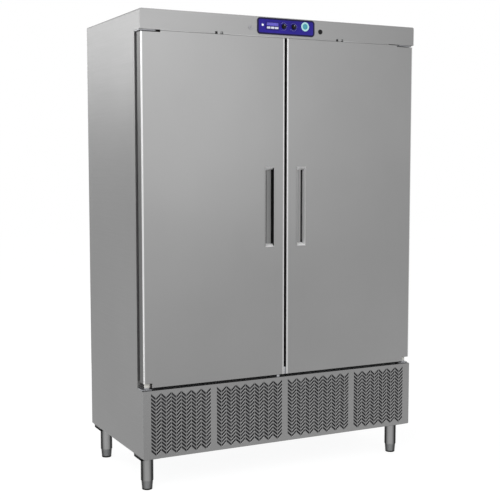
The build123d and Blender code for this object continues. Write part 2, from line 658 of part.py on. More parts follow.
def door_skin(side):
    """Door's outer steel pan: front sheet and four folded edges, open at the back."""
    pan = extrude(Plane.XZ.offset(-DOOR_BACK_Y) * door_outline(side), amount=DOOR_THICKNESS)
    front_edges = pan.faces().sort_by(Axis.Y)[0].outer_wire().edges()
    pan = fillet(front_edges, DOOR_EDGE_RADIUS)
    depth = DOOR_THICKNESS + 1 - SHEET
    pan -= extrude(Plane.XZ.offset(-DOOR_BACK_Y - 1) * door_outline(side, SHEET), amount=depth)
    pan -= handle_window(side)
    pan -= cam_slot(side, (DOOR_Z[1] - 2 * SHEET, DOOR_Z[1] + 1))
    top_bush = top_bush_z()
    pan -= post(side * HINGE_U, HINGE_Y, (top_bush[1] - 2 * SHEET, top_bush[1] + 1), BUSH_RADIUS)
    low = bottom_bush_z()[1]
    return pan - post(side * HINGE_U, HINGE_Y, (low - 1, low + 2 * SHEET), HINGE_PIN_RADIUS + PIN_CLEARANCE)


def field_block(side, spare):
    """Raised field of the door's inner panel, which reaches a little into the compartment."""
    u = (ROOM_U[0] + FIELD_MARGIN + spare, ROOM_U[1] - FIELD_MARGIN - spare)
    z = (ROOM_Z[0] + FIELD_MARGIN + spare, ROOM_Z[1] - FIELD_MARGIN - spare)
    sketch = RectangleRounded(u[1] - u[0], z[1] - z[0], FIELD_RADIUS - spare)
    y = (DOOR_BACK_Y - SHEET, FACE_Y + FIELD_REACH - spare)
    return standing(sketch, side * (u[0] + u[1]) / 2, (z[0] + z[1]) / 2, y)


def door_inner_panel(side):
    """Inner panel of the door, with its raised field."""
    plate = extrude(Plane.XZ.offset(-DOOR_BACK_Y) * door_outline(side, SHEET), amount=SHEET)
    return plate + field_block(side, 0) - field_block(side, SHEET)


def door_core(side):
    """Foam that fills the door between its pan and its inner panel."""
    depth = DOOR_THICKNESS - 2 * SHEET
    core = extrude(Plane.XZ.offset(-DOOR_BACK_Y + SHEET) * door_outline(side, SHEET), amount=depth)
    core += field_block(side, SHEET)
    core -= handle_block(side)
    x = side * HINGE_U
    top_bush = top_bush_z()
    core -= post(x, HINGE_Y, (top_bush[0], top_bush[1]), BUSH_RADIUS)
    core -= post(x, HINGE_Y, (bottom_bush_z()[1], bottom_pin_top() + 1), HINGE_PIN_RADIUS + PIN_CLEARANCE)
    cam_tip = LOCK_Z - CAM_LENGTH - CAM_SLOT_CLEARANCE
    return core - cam_slot(side, (cam_tip, DOOR_Z[1]))


def gasket(side):
    """Magnetic gasket: a narrow foot on the door and a wide head that meets the face frame."""
    head_y = (DOOR_BACK_Y + GASKET_FOOT_HEIGHT, DOOR_BACK_Y + GASKET_THICKNESS)
    foot_y = (DOOR_BACK_Y, DOOR_BACK_Y + GASKET_FOOT_HEIGHT)

    def ring(inset, width, y):
        u = (DOOR_U[0] + inset, DOOR_U[1] - inset)
        z = (DOOR_Z[0] + inset, DOOR_Z[1] - inset)
        outer = slab(sided(side, u), y, z)
        deeper = (y[0] - 1, y[1] + 1)
        return outer - slab(sided(side, (u[0] + width, u[1] - width)), deeper, (z[0] + width, z[1] - width))

    foot_inset = GASKET_INSET + (GASKET_WIDTH - GASKET_FOOT_WIDTH) / 2
    return ring(GASKET_INSET, GASKET_WIDTH, head_y) + ring(foot_inset, GASKET_FOOT_WIDTH, foot_y)


def handle_insert(side):
    """Recessed handle: a moulded pocket with sloped ends and an undercut lip on the meeting side."""
    lip = DOOR_U[0] + HANDLE_LIP_INSET
    far = lip + HANDLE_OPENING_WIDTH
    back = HANDLE_DEPTH
    block = handle_block(side) + handle_window(side) - slab(
        sided(side, (lip, far)), (FRONT_Y - 2, FRONT_Y),
        (HANDLE_BOTTOM, HANDLE_BOTTOM + HANDLE_OPENING_HEIGHT),
    )
    section = [
        (lip + HANDLE_NOSE, -1), (lip + HANDLE_NOSE, HANDLE_NOSE_THICKNESS - HANDLE_NOSE_BEVEL),
        (lip + HANDLE_NOSE - HANDLE_NOSE_BEVEL, HANDLE_NOSE_THICKNESS),
        (lip - HANDLE_UNDERCUT, HANDLE_NOSE_THICKNESS),
        (lip - HANDLE_UNDERCUT, back), (far - HANDLE_SIDE_SLOPE - HANDLE_WALL / 2, back),
        (far - HANDLE_WALL / 2, -1),
    ]
    bottom, top = HANDLE_BOTTOM, HANDLE_BOTTOM + HANDLE_OPENING_HEIGHT
    cavity = extrude(
        Plane.XY.offset(bottom) * outline([(side * u, FRONT_Y + depth) for u, depth in section]),
        amount=top - bottom,
    )
    for edge_z, inwards in ((bottom, 1), (top, -1)):
        lift = HANDLE_WALL / 2 * inwards
        wedge = [
            (FRONT_Y, edge_z), (FRONT_Y, edge_z + lift),
            (FRONT_Y + back, edge_z + inwards * HANDLE_END_SLOPE), (FRONT_Y + back, edge_z),
        ]
        plane = Plane(origin=(0, 0, 0), x_dir=(0, 1, 0), z_dir=(1, 0, 0))
        face = plane * outline(wedge)
        width = (lip - HANDLE_UNDERCUT, far)
        shift = min(sided(side, width))
        cavity -= Pos(shift, 0, 0) * extrude(face, amount=width[1] - width[0])
    return block - cavity


def hinge_bushes(side):
    """Nylon bushes in the door's top edge and in its bottom notch."""
    x = side * HINGE_U
    bore = HINGE_PIN_RADIUS + PIN_CLEARANCE
    top, low = top_bush_z(), bottom_bush_z()
    upper = post(x, HINGE_Y, top, BUSH_RADIUS) - post(x, HINGE_Y, (top[0] - 1, top[1] + 1), bore)
    lower = post(x, HINGE_Y, low, BUSH_RADIUS) - post(x, HINGE_Y, (low[0] - 1, low[1] + 1), bore)
    return [upper, lower]


def hinge_brackets():
    """Hinge plates with their pins: two under the header and two on the base."""
    solids = []
    for side in (-1, 1):
        x = side * HINGE_U
        y = (FACE_Y - BRACKET_REACH, FACE_Y)
        top_u = (HALF_WIDTH - SHEET - TOP_BRACKET_WIDTH, HALF_WIDTH - SHEET)
        top_z = (HEADER_BOTTOM - BRACKET_THICKNESS, HEADER_BOTTOM)
        upper = slab(sided(side, top_u), y, top_z)
        upper = chamfer(upper.edges().filter_by(Axis.Z).sort_by(Axis.Y)[:2], BRACKET_CORNER)
        upper += post(x, HINGE_Y, (top_bush_z()[0] + 1, top_z[0]), HINGE_PIN_RADIUS)
        low_u = (HALF_WIDTH - SHEET - BOTTOM_BRACKET_WIDTH, HALF_WIDTH - SHEET)
        low_z = (BASE_TOP, BASE_TOP + BRACKET_THICKNESS)
        lower = slab(sided(side, low_u), y, low_z)
        lower = chamfer(lower.edges().filter_by(Axis.Z).sort_by(Axis.Y)[:2], BRACKET_CORNER)
        lower += post(x, HINGE_Y, (low_z[1], low_z[1] + CAM_HEIGHT), BUSH_RADIUS)
        lower += post(x, HINGE_Y, (low_z[1], bottom_pin_top()), HINGE_PIN_RADIUS)
        solids += [upper, lower]
    return solids


def corner_post(side, y, facing):
    """Angle post of the base: one flat beside the side panel, the other at y, facing back or front."""
    outer = INNER_X - BASE_BEND_RADIUS
    z = (PAN_TOP, BASE_TOP - FRAME_SHEET)
    far = y + facing * POST_WIDTH
    across = slab(sided(side, (outer - POST_WIDTH, outer)), (y, y + facing * POST_SHEET), z)
    return across + slab(sided(side, (outer - POST_SHEET, outer)), (y, far), z)


def base_frame():
    """Machine compartment's floor pan, its four corner posts and the rails on top, each its own solid."""
    pan_x = HALF_WIDTH - SIDE_FLANGE
    rear_y = BACK_Y - REAR_INSET - SHEET
    front_y = FRONT_Y + SHEET
    pan = slab((-pan_x, pan_x), (front_y, rear_y), (LEG_LENGTH, PAN_TOP))
    pan += slab((-pan_x, pan_x), (rear_y - FRAME_SHEET, rear_y), (PAN_TOP, PAN_TOP + PAN_FLANGE))
    pan += slab((-pan_x, pan_x), (front_y, front_y + FRAME_SHEET), (PAN_TOP, PAN_TOP + PAN_FLANGE / 3))
    top = (BASE_TOP - FRAME_SHEET, BASE_TOP)
    ledge = slab((-INNER_X, INNER_X), (front_y, FACE_Y), top)
    ledge += slab((-INNER_X, INNER_X), (FACE_Y - FRAME_SHEET, FACE_Y), (BASE_TOP - POST_WIDTH, top[1]))
    rear_rail = slab((-INNER_X, INNER_X), (rear_y - POST_WIDTH, rear_y), top)
    solids = [pan, ledge, rear_rail]
    for side in (-1, 1):
        rail_x = sided(side, (INNER_X - POST_WIDTH, INNER_X))
        solids.append(slab(rail_x, (FACE_Y, rear_y - POST_WIDTH), top))
        solids.append(corner_post(side, FACE_Y, 1))
        solids.append(corner_post(side, rear_y - FRAME_SHEET, -1))
    return solids


def slanted_slot(x, z, lean):
    """Corners of one slanted slot, leaning one way or the other."""
    run, rise = lean * SLOT_RUN / 2, SLOT_RISE / 2
    length = math.hypot(run, rise)
    across = (rise / length * SLOT_WIDTH / 2, run / length * SLOT_WIDTH / 2)
    return [
        (x - run - across[0], z + rise - across[1]), (x - run + across[0], z + rise + across[1]),
        (x + run + across[0], z - rise + across[1]), (x + run - across[0], z - rise - across[1]),
    ]


def grille_slots():
    """Corners of every slot in the grille panel, field by field."""
    left = GRILLE_SIDE_MARGIN - HALF_WIDTH
    middle_z = LEG_LENGTH + BASE_HEIGHT / 2
    slots = []
    for count in GRILLE_FIELD_COLUMNS:
        for column in range(count):
            x = left + (column + 0.5) * GRILLE_COLUMN_PITCH
            lean = 1 if column % 2 == 0 else -1
            for row in range(GRILLE_ROWS):
                z = middle_z + (row - (GRILLE_ROWS - 1) / 2) * GRILLE_ROW_PITCH
                slots.append(slanted_slot(x, z, lean))
        left += count * GRILLE_COLUMN_PITCH + GRILLE_FIELD_GAP
    return slots


def grille_panel():
    """Front panel of the machine compartment: herringbone slots in four fields, folded in along its top."""
    outer = Wire.make_polygon([
        (-HALF_WIDTH, FRONT_Y, LEG_LENGTH), (HALF_WIDTH, FRONT_Y, LEG_LENGTH),
        (HALF_WIDTH, FRONT_Y, BASE_TOP), (-HALF_WIDTH, FRONT_Y, BASE_TOP),
    ], close=True)
    holes = [
        Wire.make_polygon([(x, FRONT_Y, z) for x, z in corners], close=True) for corners in grille_slots()
    ]
    sheet = extrude(Face(outer, holes), amount=SHEET, dir=(0, 1, 0))
    lower = [
        edge for edge in sheet.edges().filter_by(Axis.Y)
        if abs(abs(edge.center().X) - HALF_WIDTH) < 0.01 and abs(edge.center().Z - LEG_LENGTH) < 0.01
    ]
    sheet = fillet(lower, BASE_BEND_RADIUS)
    fold_z = (BASE_TOP - FRAME_SHEET - SHEET, BASE_TOP - FRAME_SHEET)
    inner = HALF_WIDTH - SIDE_FLANGE
    return sheet + slab((-inner, inner), (FRONT_Y + SHEET, FRONT_Y + SHEET + GRILLE_FOLD), fold_z)


def rear_cover():
    """Slotted rear cover of the machine compartment, set in a little, with the cable's hole."""
    half = HALF_WIDTH - SIDE_FLANGE
    y1 = BACK_Y - REAR_INSET
    z = (PAN_TOP, BASE_TOP - FRAME_SHEET)
    cover = slab((-half, half), (y1 - SHEET, y1), z)
    middle_z = (z[0] + z[1]) / 2
    through = (y1 - SHEET - 1, y1 + 1)
    slots = []
    for side in (-1, 1):
        for step in range(REAR_SLOT_COUNT):
            x = side * REAR_FIELD_X + (step - (REAR_SLOT_COUNT - 1) / 2) * REAR_SLOT_PITCH
            slots.append(standing(Rectangle(REAR_SLOT_WIDTH, REAR_SLOT_HEIGHT), x, middle_z, through))
    cover -= slots
    return cover - standing(Circle(GLAND_RADIUS), GLAND_X, PAN_TOP + GLAND_RISE, through)


def cable_gland():
    """Bare gland in the cover, where the supply cable enters: threaded body, nut and mouth."""
    y1 = BACK_Y - REAR_INSET
    z = PAN_TOP + GLAND_RISE
    whole = standing(Circle(GLAND_RADIUS), GLAND_X, z, (y1 - 2 * REAR_INSET, BACK_Y))
    nut = RegularPolygon(GLAND_NUT_RADIUS, 6)
    whole += standing(nut, GLAND_X, z, (y1, y1 + GLAND_NUT_THICKNESS))
    return whole - standing(Circle(GLAND_MOUTH_RADIUS), GLAND_X, z, (y1, BACK_Y + 1))


def leg_places():
    """Name and centre of each leg."""
    x = HALF_WIDTH - LEG_INSET_X
    front, back = FRONT_Y + LEG_INSET_FRONT, BACK_Y - LEG_INSET_BACK
    return {
        "front_left": (-x, front), "front_right": (x, front),
        "back_left": (-x, back), "back_right": (x, back),
    }


def leg(x, y):
    """Round leg under its fixing plate, bored for the foot's stem."""
    plate_z = (LEG_LENGTH - LEG_PLATE_THICKNESS, LEG_LENGTH)
    half = LEG_PLATE_WIDTH / 2
    whole = slab((x - half, x + half), (y - half, y + half), plate_z)
    whole += post(x, y, (FOOT_HEIGHT, plate_z[0]), LEG_RADIUS)
    bore_top = FOOT_HEIGHT + FOOT_STEM_LENGTH + 1
    return whole - post(x, y, (FOOT_HEIGHT - 1, bore_top), FOOT_STEM_RADIUS + PIN_CLEARANCE)


def foot(x, y):
    """Screw-in foot: tapered body with many narrow flats to turn it by, and the stem inside the leg."""
    sole = Plane((x, y, 0)) * RegularPolygon(FOOT_TIP_RADIUS, FOOT_FLATS)
    shoulder = Plane((x, y, FOOT_HEIGHT)) * RegularPolygon(FOOT_RADIUS, FOOT_FLATS)
    body = loft([sole, shoulder], ruled=True)
    return body + post(x, y, (FOOT_HEIGHT, FOOT_HEIGHT + FOOT_STEM_LENGTH), FOOT_STEM_RADIUS)


def wall_planes():
    """Inner faces of a compartment's two side walls, as distances from the middle plane."""
    return (ROOM_U[0] + SHEET, ROOM_U[1] - SHEET)


def shelf_uprights():
    """Four upright strips in each compartment that hold the runners."""
    near, far = wall_planes()
    z = (ROOM_Z[0] + UPRIGHT_FOOT_RISE, ROOM_Z[1] - UNIT_HEIGHT - UPRIGHT_TOP_GAP)
    solids = []
    for side in (-1, 1):
        for u in ((near, near + UPRIGHT_DEPTH), (far - UPRIGHT_DEPTH, far)):
            for y0 in (FACE_Y + UPRIGHT_FRONT_GAP, ROOM_BACK_Y - SHEET - UPRIGHT_BACK_GAP - UPRIGHT_WIDTH):
                solids.append(slab(sided(side, u), (y0, y0 + UPRIGHT_WIDTH), z))
    return solids


def runner_span():
    """Depths between which the runners and shelves lie."""
    return (FACE_Y + SHELF_FRONT_GAP, ROOM_BACK_Y - SHEET - SHELF_BACK_GAP)


def shelf_levels():
    """Heights of the shelves' undersides."""
    return [ROOM_Z[0] + FIRST_SHELF_RISE + step * SHELF_PITCH for step in range(SHELF_COUNT)]


def shelf_runners():
    """Angle runners on the uprights, two for each shelf."""
    near, far = wall_planes()
    y = runner_span()
    solids = []
    for side in (-1, 1):
        for z in shelf_levels():
            for wall, inwards in ((near + UPRIGHT_DEPTH, 1), (far - UPRIGHT_DEPTH, -1)):
                web = slab(sided(side, (wall, wall + inwards * RUNNER_SHEET)), y, (z - RUNNER_HEIGHT, z))
                ledge = slab(sided(side, (wall, wall + inwards * RUNNER_LEDGE)), y, (z - RUNNER_SHEET, z))
                solids.append(web + ledge)
    return solids


def wire_shelf(side, z0):
    """Wire shelf: wires from front to back in a frame, on cross bars."""
    near, far = wall_planes()
    inset = UPRIGHT_DEPTH + SHELF_SIDE_GAP
    width = far - near - 2 * inset
    y = runner_span()
    depth = y[1] - y[0]
    x, middle_y = unit_middle(side), (y[0] + y[1]) / 2
    pitch = (width - SHELF_BAR) / (SHELF_WIRE_COUNT + 1)
    gap = Rectangle(pitch - SHELF_WIRE, depth - 2 * SHELF_BAR)
    grid = Rectangle(width, depth) - GridLocations(pitch, 0, SHELF_WIRE_COUNT + 1, 1) * gap
    shelf = extrude(Plane((x, middle_y, z0 + SHELF_CROSS_BAR)) * grid, amount=SHELF_WIRE)
    u = (near + inset, far - inset)
    solids = [shelf]
    for share in (0.0, 0.5, 1.0):
        bar_y = y[0] + share * (depth - SHELF_BAR)
        solids.append(slab(sided(side, u), (bar_y, bar_y + SHELF_BAR), (z0, z0 + SHELF_CROSS_BAR)))
    return solids


def unit_middle(side):
    """Middle of a compartment along X."""
    return side * (ROOM_U[0] + ROOM_U[1]) / 2


def evaporator_cover(side):
    """Cover under the ceiling with its fan opening and guard bars, open above and behind."""
    x = unit_middle(side)
    half = UNIT_WIDTH / 2
    bottom, ceiling = ROOM_Z[1] - UNIT_HEIGHT, ROOM_Z[1] - SHEET
    rear_y = ROOM_BACK_Y - SHEET - UNIT_REAR_GAP
    cover = slab((x - half, x + half), (UNIT_FRONT_Y, rear_y), (bottom, ceiling))
    inner = half - UNIT_SHEET
    inner_y = (UNIT_FRONT_Y + UNIT_SHEET, rear_y + 1)
    cover -= slab((x - inner, x + inner), inner_y, (bottom + UNIT_SHEET, ceiling + 1))
    sheet_y = (UNIT_FRONT_Y, UNIT_FRONT_Y + UNIT_SHEET)
    cover -= standing(Circle(UNIT_FAN_HOLE_RADIUS), x, UNIT_AXIS_Z, (sheet_y[0] - 1, sheet_y[1] + 1))
    span = 2 * UNIT_FAN_HOLE_RADIUS + 2
    for turn in (0, 45, 90, 135):
        cover += standing(Rot(0, 0, turn) * Rectangle(span, UNIT_GUARD_BAR), x, UNIT_AXIS_Z, sheet_y)
    return cover


def finned_coil(x, y, z, fins):
    """Finned heat exchanger: a comb of fins on a solid core, between the limits given."""
    width = x[1] - x[0]
    groove = width / (2 * fins + 1)
    bite = (y[1] - y[0]) * 0.3
    points = []
    for step in range(fins):
        x0 = x[0] + (2 * step + 1) * groove
        points += [(x0, y[0]), (x0, y[0] + bite), (x0 + groove, y[0] + bite), (x0 + groove, y[0])]
    front = [(x[0], y[0])] + points + [(x[1], y[0])]
    back = [(px, y[0] + y[1] - py) for px, py in reversed(front)]
    return extrude(Plane.XY.offset(z[0]) * outline(front + back), amount=z[1] - z[0])


def evaporator_coil(side):
    """Evaporator coil, hung from the compartment's ceiling behind the fan."""
    x = unit_middle(side)
    y0 = UNIT_FRONT_Y + COIL_SETBACK
    ceiling = ROOM_Z[1] - SHEET
    half = COIL_WIDTH / 2
    z = (ceiling - COIL_HEIGHT, ceiling)
    return finned_coil((x - half, x + half), (y0, y0 + COIL_DEPTH), z, COIL_FINS)


def unit_fan_y():
    """Depths of the evaporator fan's blades."""
    y0 = UNIT_FRONT_Y + UNIT_SHEET + UNIT_FAN_SETBACK
    return (y0, y0 + UNIT_FAN_DEPTH)


def evaporator_motor(side):
    """Fan motor on a strap between the cover's floor and the ceiling, with its shaft."""
    x = unit_middle(side)
    fan_y = unit_fan_y()
    y0 = fan_y[1] + UNIT_MOTOR_GAP
    y1 = y0 + UNIT_MOTOR_LENGTH
    motor = standing(Rectangle(UNIT_MOTOR_WIDTH, UNIT_MOTOR_WIDTH), x, UNIT_AXIS_Z, (y0, y1))
    motor += standing(Circle(MOTOR_SHAFT_RADIUS), x, UNIT_AXIS_Z, (fan_y[0] + MOTOR_SHAFT_SETBACK, y0))
    strap_z = (ROOM_Z[1] - UNIT_HEIGHT + UNIT_SHEET, ROOM_Z[1] - SHEET)
    half = UNIT_STRAP_WIDTH / 2
    return motor + slab((x - half, x + half), (y1, y1 + UNIT_STRAP_THICKNESS), strap_z)


def fan_wheel(x, z, y, radius, hub_radius):
    """Axial fan wheel: hub bored for the motor's shaft, and pitched blades round it."""
    depth = y[1] - y[0]
    hub = standing(Circle(hub_radius), x, z, y)
    reach = radius - hub_radius + BLADE_ROOT_SINK
    root = 2 * hub_radius * math.sin(math.pi / BLADE_COUNT)
    chord = min(1.8 * root, depth / math.sin(math.radians(BLADE_PITCH_DEG)) - 2 * BLADE_THICKNESS)
    tip_chord = 1.5 * chord
    tip = [(reach, tip_chord / 2), (reach + BLADE_TIP_POINT, 0), (reach, -tip_chord / 2)]
    points = [(0, -chord / 2), (0, chord / 2)] + tip
    blade = Pos(0, 0, -BLADE_THICKNESS / 2) * extrude(outline(points), amount=BLADE_THICKNESS)
    pitch = math.degrees(math.asin(min(0.9, (depth - 2 * BLADE_THICKNESS) / tip_chord)))
    blade = Pos(hub_radius - BLADE_ROOT_SINK, 0, 0) * Rot(min(pitch, BLADE_PITCH_DEG), 0, 0) * blade
    middle_y = (y[0] + y[1]) / 2
    wheel = hub
    for step in range(BLADE_COUNT):
        turned = Rot(0, 0, step * 360 / BLADE_COUNT) * blade
        wheel += Pos(x, middle_y, z) * Rot(90, 0, 0) * turned
    bore = Circle(MOTOR_SHAFT_RADIUS + PIN_CLEARANCE)
    return wheel - standing(bore, x, z, (y[0] + 1, y[1] + 1))


def evaporator_fan(side):
    """Evaporator fan wheel of one compartment."""
    return fan_wheel(unit_middle(side), UNIT_AXIS_Z, unit_fan_y(), UNIT_FAN_RADIUS, UNIT_FAN_HUB_RADIUS)


def condenser(side):
    """Condenser coil, standing on the floor pan behind the grille."""
    x = side * CONDENSING_UNIT_X
    half = CONDENSER_WIDTH / 2
    y = (CONDENSER_FRONT_Y, CONDENSER_FRONT_Y + CONDENSER_DEPTH)
    return finned_coil((x - half, x + half), y, (PAN_TOP, PAN_TOP + CONDENSER_HEIGHT), CONDENSER_FINS)


def condenser_fan_y():
    """Depths of the condenser fan's blades."""
    y0 = SHROUD_Y + SHROUD_SHEET + CONDENSER_FAN_GAP
    return (y0, y0 + CONDENSER_FAN_DEPTH)


def condenser_fan_frame(side):
    """Shroud plate with its round opening, and the motor held behind it on a bridge between two stays."""
    x, z = side * CONDENSING_UNIT_X, CONDENSER_FAN_Z
    half = CONDENSER_WIDTH / 2
    sheet_y = (SHROUD_Y, SHROUD_Y + SHROUD_SHEET)
    frame = slab((x - half, x + half), sheet_y, (PAN_TOP, PAN_TOP + CONDENSER_HEIGHT))
    frame -= standing(Circle(SHROUD_HOLE_RADIUS), x, z, (sheet_y[0] - 1, sheet_y[1] + 1))
    fan_y = condenser_fan_y()
    y0 = fan_y[1] + CONDENSER_MOTOR_GAP
    y1 = y0 + CONDENSER_MOTOR_LENGTH
    frame += standing(Rectangle(CONDENSER_MOTOR_WIDTH, CONDENSER_MOTOR_WIDTH), x, z, (y0, y1))
    frame += standing(Circle(MOTOR_SHAFT_RADIUS), x, z, (fan_y[0] + MOTOR_SHAFT_SETBACK, y0))
    reach = (CONDENSER_FAN_RADIUS + STAY_CLEARANCE, CONDENSER_FAN_RADIUS + STAY_CLEARANCE + STAY_THICKNESS)
    plate_y = (y1, y1 + STAY_THICKNESS)
    stay_z = (z - STAY_WIDTH / 2, z + STAY_WIDTH / 2)
    frame += slab((x - reach[1], x + reach[1]), plate_y, stay_z)
    for way in (-1, 1):
        frame += slab((x + way * reach[0], x + way * reach[1]), (sheet_y[1], plate_y[1]), stay_z)
    return frame


def condenser_fan(side):
    """Condenser fan wheel of one unit."""
    x = side * CONDENSING_UNIT_X
    return fan_wheel(x, CONDENSER_FAN_Z, condenser_fan_y(), CONDENSER_FAN_RADIUS, CONDENSER_FAN_HUB_RADIUS)


def compressor(side):
    """Hermetic compressor: domed shell on a foot plate with four grommets, and its terminal box."""
    x, y = side * CONDENSING_UNIT_X, COMPRESSOR_Y
    plate_z = (PAN_TOP + COMPRESSOR_FOOT, PAN_TOP + COMPRESSOR_FOOT + COMPRESSOR_PLATE)
    half = COMPRESSOR_RADIUS + COMPRESSOR_PLATE_MARGIN
    half_depth = 0.8 * half
    whole = slab((x - half, x + half), (y - half_depth, y + half_depth), plate_z)
    for way_x in (-1, 1):
        for way_y in (-1, 1):
            grommet_x = (x + way_x * half, x + way_x * (half - COMPRESSOR_FOOT_WIDTH))
            grommet_y = (y + way_y * half_depth, y + way_y * (half_depth - COMPRESSOR_FOOT_WIDTH))
            whole += slab(grommet_x, grommet_y, (PAN_TOP, plate_z[0]))
    shoulder = COMPRESSOR_HEIGHT - COMPRESSOR_DOME_HEIGHT
    half_shell = [
        (0, 0), (COMPRESSOR_RADIUS, 0), (COMPRESSOR_RADIUS, shoulder),
        (COMPRESSOR_CROWN_RADIUS, COMPRESSOR_HEIGHT), (0, COMPRESSOR_HEIGHT),
    ]
    shell = Pos(x, y, plate_z[1]) * revolve(Plane.XZ * outline(half_shell), Axis.Z)
    box_u = (COMPRESSOR_RADIUS / 2, COMPRESSOR_RADIUS + TERMINAL_BOX_REACH)
    box_x = (x - side * box_u[0], x - side * box_u[1])
    box_y = (y - TERMINAL_BOX_WIDTH / 2, y + TERMINAL_BOX_WIDTH / 2)
    box_z = (plate_z[1] + TERMINAL_BOX_RISE, plate_z[1] + TERMINAL_BOX_RISE + TERMINAL_BOX_HEIGHT)
    return whole + shell + slab(box_x, box_y, box_z)


def compressor_top():
    """Height of the compressor's dome."""
    return PAN_TOP + COMPRESSOR_FOOT + COMPRESSOR_PLATE + COMPRESSOR_HEIGHT


def pipe(points, radius):
    """Tube of six flats along straight runs with mitred corners."""
    start = points[0]
    way = Vector(*points[1]) - Vector(*start)
    section = Plane(origin=start, z_dir=way) * RegularPolygon(radius, 6)
    return sweep(section, path=Polyline(*points), transition=Transition.RIGHT)


def pipework(side):
    """Discharge and suction pipes, and the filter drier in the liquid line, of one unit."""
    x = side * CONDENSING_UNIT_X
    high = PAN_TOP + PIPE_RISE
    stub = COMPRESSOR_CROWN_RADIUS - 2 * PIPE_RADIUS
    dome = compressor_top()
    condenser_top = PAN_TOP + CONDENSER_HEIGHT
    condenser_y = CONDENSER_FRONT_Y + CONDENSER_DEPTH / 2
    discharge = pipe([
        (x - stub, COMPRESSOR_Y, dome), (x - stub, COMPRESSOR_Y, high),
        (x - stub, condenser_y, high), (x - stub, condenser_y, condenser_top),
    ], PIPE_RADIUS)
    suction = pipe([(x + stub, COMPRESSOR_Y, dome), (x + stub, COMPRESSOR_Y, BASE_TOP)], PIPE_RADIUS)
    liquid_x = x + CONDENSER_WIDTH / 2 - PIPE_RADIUS
    liquid_z = PAN_TOP + 3 * PIPE_RADIUS
    start_y = SHROUD_Y + SHROUD_SHEET
    drier_y = start_y + DRIER_SETBACK
    drier_end = drier_y + DRIER_LENGTH
    drier = standing(RegularPolygon(DRIER_RADIUS, 12), liquid_x, liquid_z, (drier_y, drier_end))
    end_y = drier_y + DRIER_LENGTH + LIQUID_PIPE_RUN
    line_in = pipe([(liquid_x, start_y, liquid_z), (liquid_x, drier_y, liquid_z)], PIPE_RADIUS)
    line_out = pipe([
        (liquid_x, drier_end, liquid_z), (liquid_x, end_y, liquid_z), (liquid_x, end_y, BASE_TOP),
    ], LIQUID_PIPE_RADIUS)
    return [discharge, suction, drier + line_in + line_out]


def defrost_tray():
    """Open tray on the floor pan that collects and evaporates the defrost water."""
    y1 = BACK_Y - REAR_INSET - TRAY_REAR_GAP
    x = TRAY_WIDTH / 2
    block = slab((-x, x), (y1 - TRAY_DEPTH, y1), (PAN_TOP, PAN_TOP + TRAY_HEIGHT))
    w = TRAY_WALL
    inner = slab((-x + w, x - w), (y1 - TRAY_DEPTH + w, y1 - w), (PAN_TOP + w, PAN_TOP + TRAY_HEIGHT + 1))
    return block - inner


def drain_tube(side):
    """Drain from the insulated body's underside down over the tray."""
    x = side * DRAIN_X
    y = BACK_Y - REAR_INSET - TRAY_REAR_GAP - TRAY_DEPTH / 2
    return pipe([(x, y, PAN_TOP + DRAIN_TIP_GAP), (x, y, BASE_TOP)], DRAIN_RADIUS)


def wire_shelves():
    """Every shelf of both compartments."""
    places = [(side, z) for side in (-1, 1) for z in shelf_levels()]
    return [solid for side, z in places for solid in wire_shelf(side, z)]


def build_nodes():
    """Every node of the cabinet by name, each with its list of solids."""
    nodes = {
        "side_panel_left": [side_panel(-1)],
        "side_panel_right": [side_panel(1)],
        "back_panel": [back_panel()],
        "top_panel": [top_panel()],
        "cabinet_foam": [cabinet_foam()],
        "compartment_liners": [liner(side) for side in (-1, 1)],
        "front_frame": [front_frame()],
        "header_fascia": [header_fascia()],
        "control_panel": [control_panel()],
        "controller": [controller()],
        "controller_display": [display_block()],
        "thermostats": [thermostat(x) for x in KNOB_X],
        "knob_fridge": [knob(KNOB_X[0])],
        "knob_freezer": [knob(KNOB_X[1])],
        "pilot_lamps": [pilot_lamp(*lamp) for lamp in (SMALL_LAMP, LARGE_LAMP)],
        "lock_barrels": [lock_barrel(side) for side in (-1, 1)],
        "lock_plug_left": [lock_plug(-1)],
        "lock_plug_right": [lock_plug(1)],
        "door_sensors": [door_sensor(x) for x in SENSOR_X],
        "hinge_brackets": hinge_brackets(),
        "base_frame": base_frame(),
        "grille_panel": [grille_panel()],
        "rear_cover": [rear_cover()],
        "cable_gland": [cable_gland()],
        "legs": [leg(*place) for place in leg_places().values()],
        "shelf_uprights": shelf_uprights(),
        "shelf_runners": shelf_runners(),
        "wire_shelves": wire_shelves(),
        "evaporator_covers": [evaporator_cover(side) for side in (-1, 1)],
        "evaporator_coils": [evaporator_coil(side) for side in (-1, 1)],
        "evaporator_motors": [evaporator_motor(side) for side in (-1, 1)],
        "evaporator_fan_left": [evaporator_fan(-1)],
        "evaporator_fan_right": [evaporator_fan(1)],
        "condensers": [condenser(side) for side in (-1, 1)],
        "condenser_fan_frames": [condenser_fan_frame(side) for side in (-1, 1)],
        "condenser_fan_left": [condenser_fan(-1)],
        "condenser_fan_right": [condenser_fan(1)],
        "compressors": [compressor(side) for side in (-1, 1)],
        "pipework": pipework(-1) + pipework(1),
        "defrost_tray": [defrost_tray()],
        "drain_tubes": [drain_tube(side) for side in (-1, 1)],
    }
    for number, x in enumerate(button_places(), start=1):
        nodes[f"button_{number}"] = [button(x)]
    for name, place in leg_places().items():
        nodes[f"foot_{name}"] = [foot(*place)]
    for side, name in ((-1, "left"), (1, "right")):
        nodes[f"door_skin_{name}"] = [door_skin(side)]
        nodes[f"door_core_{name}"] = [door_core(side)]
        nodes[f"door_inner_panel_{name}"] = [door_inner_panel(side)]
        nodes[f"door_gasket_{name}"] = [gasket(side)]
        nodes[f"door_handle_{name}"] = [handle_insert(side)]
        nodes[f"hinge_bushes_{name}"] = hinge_bushes(side)
    return nodes


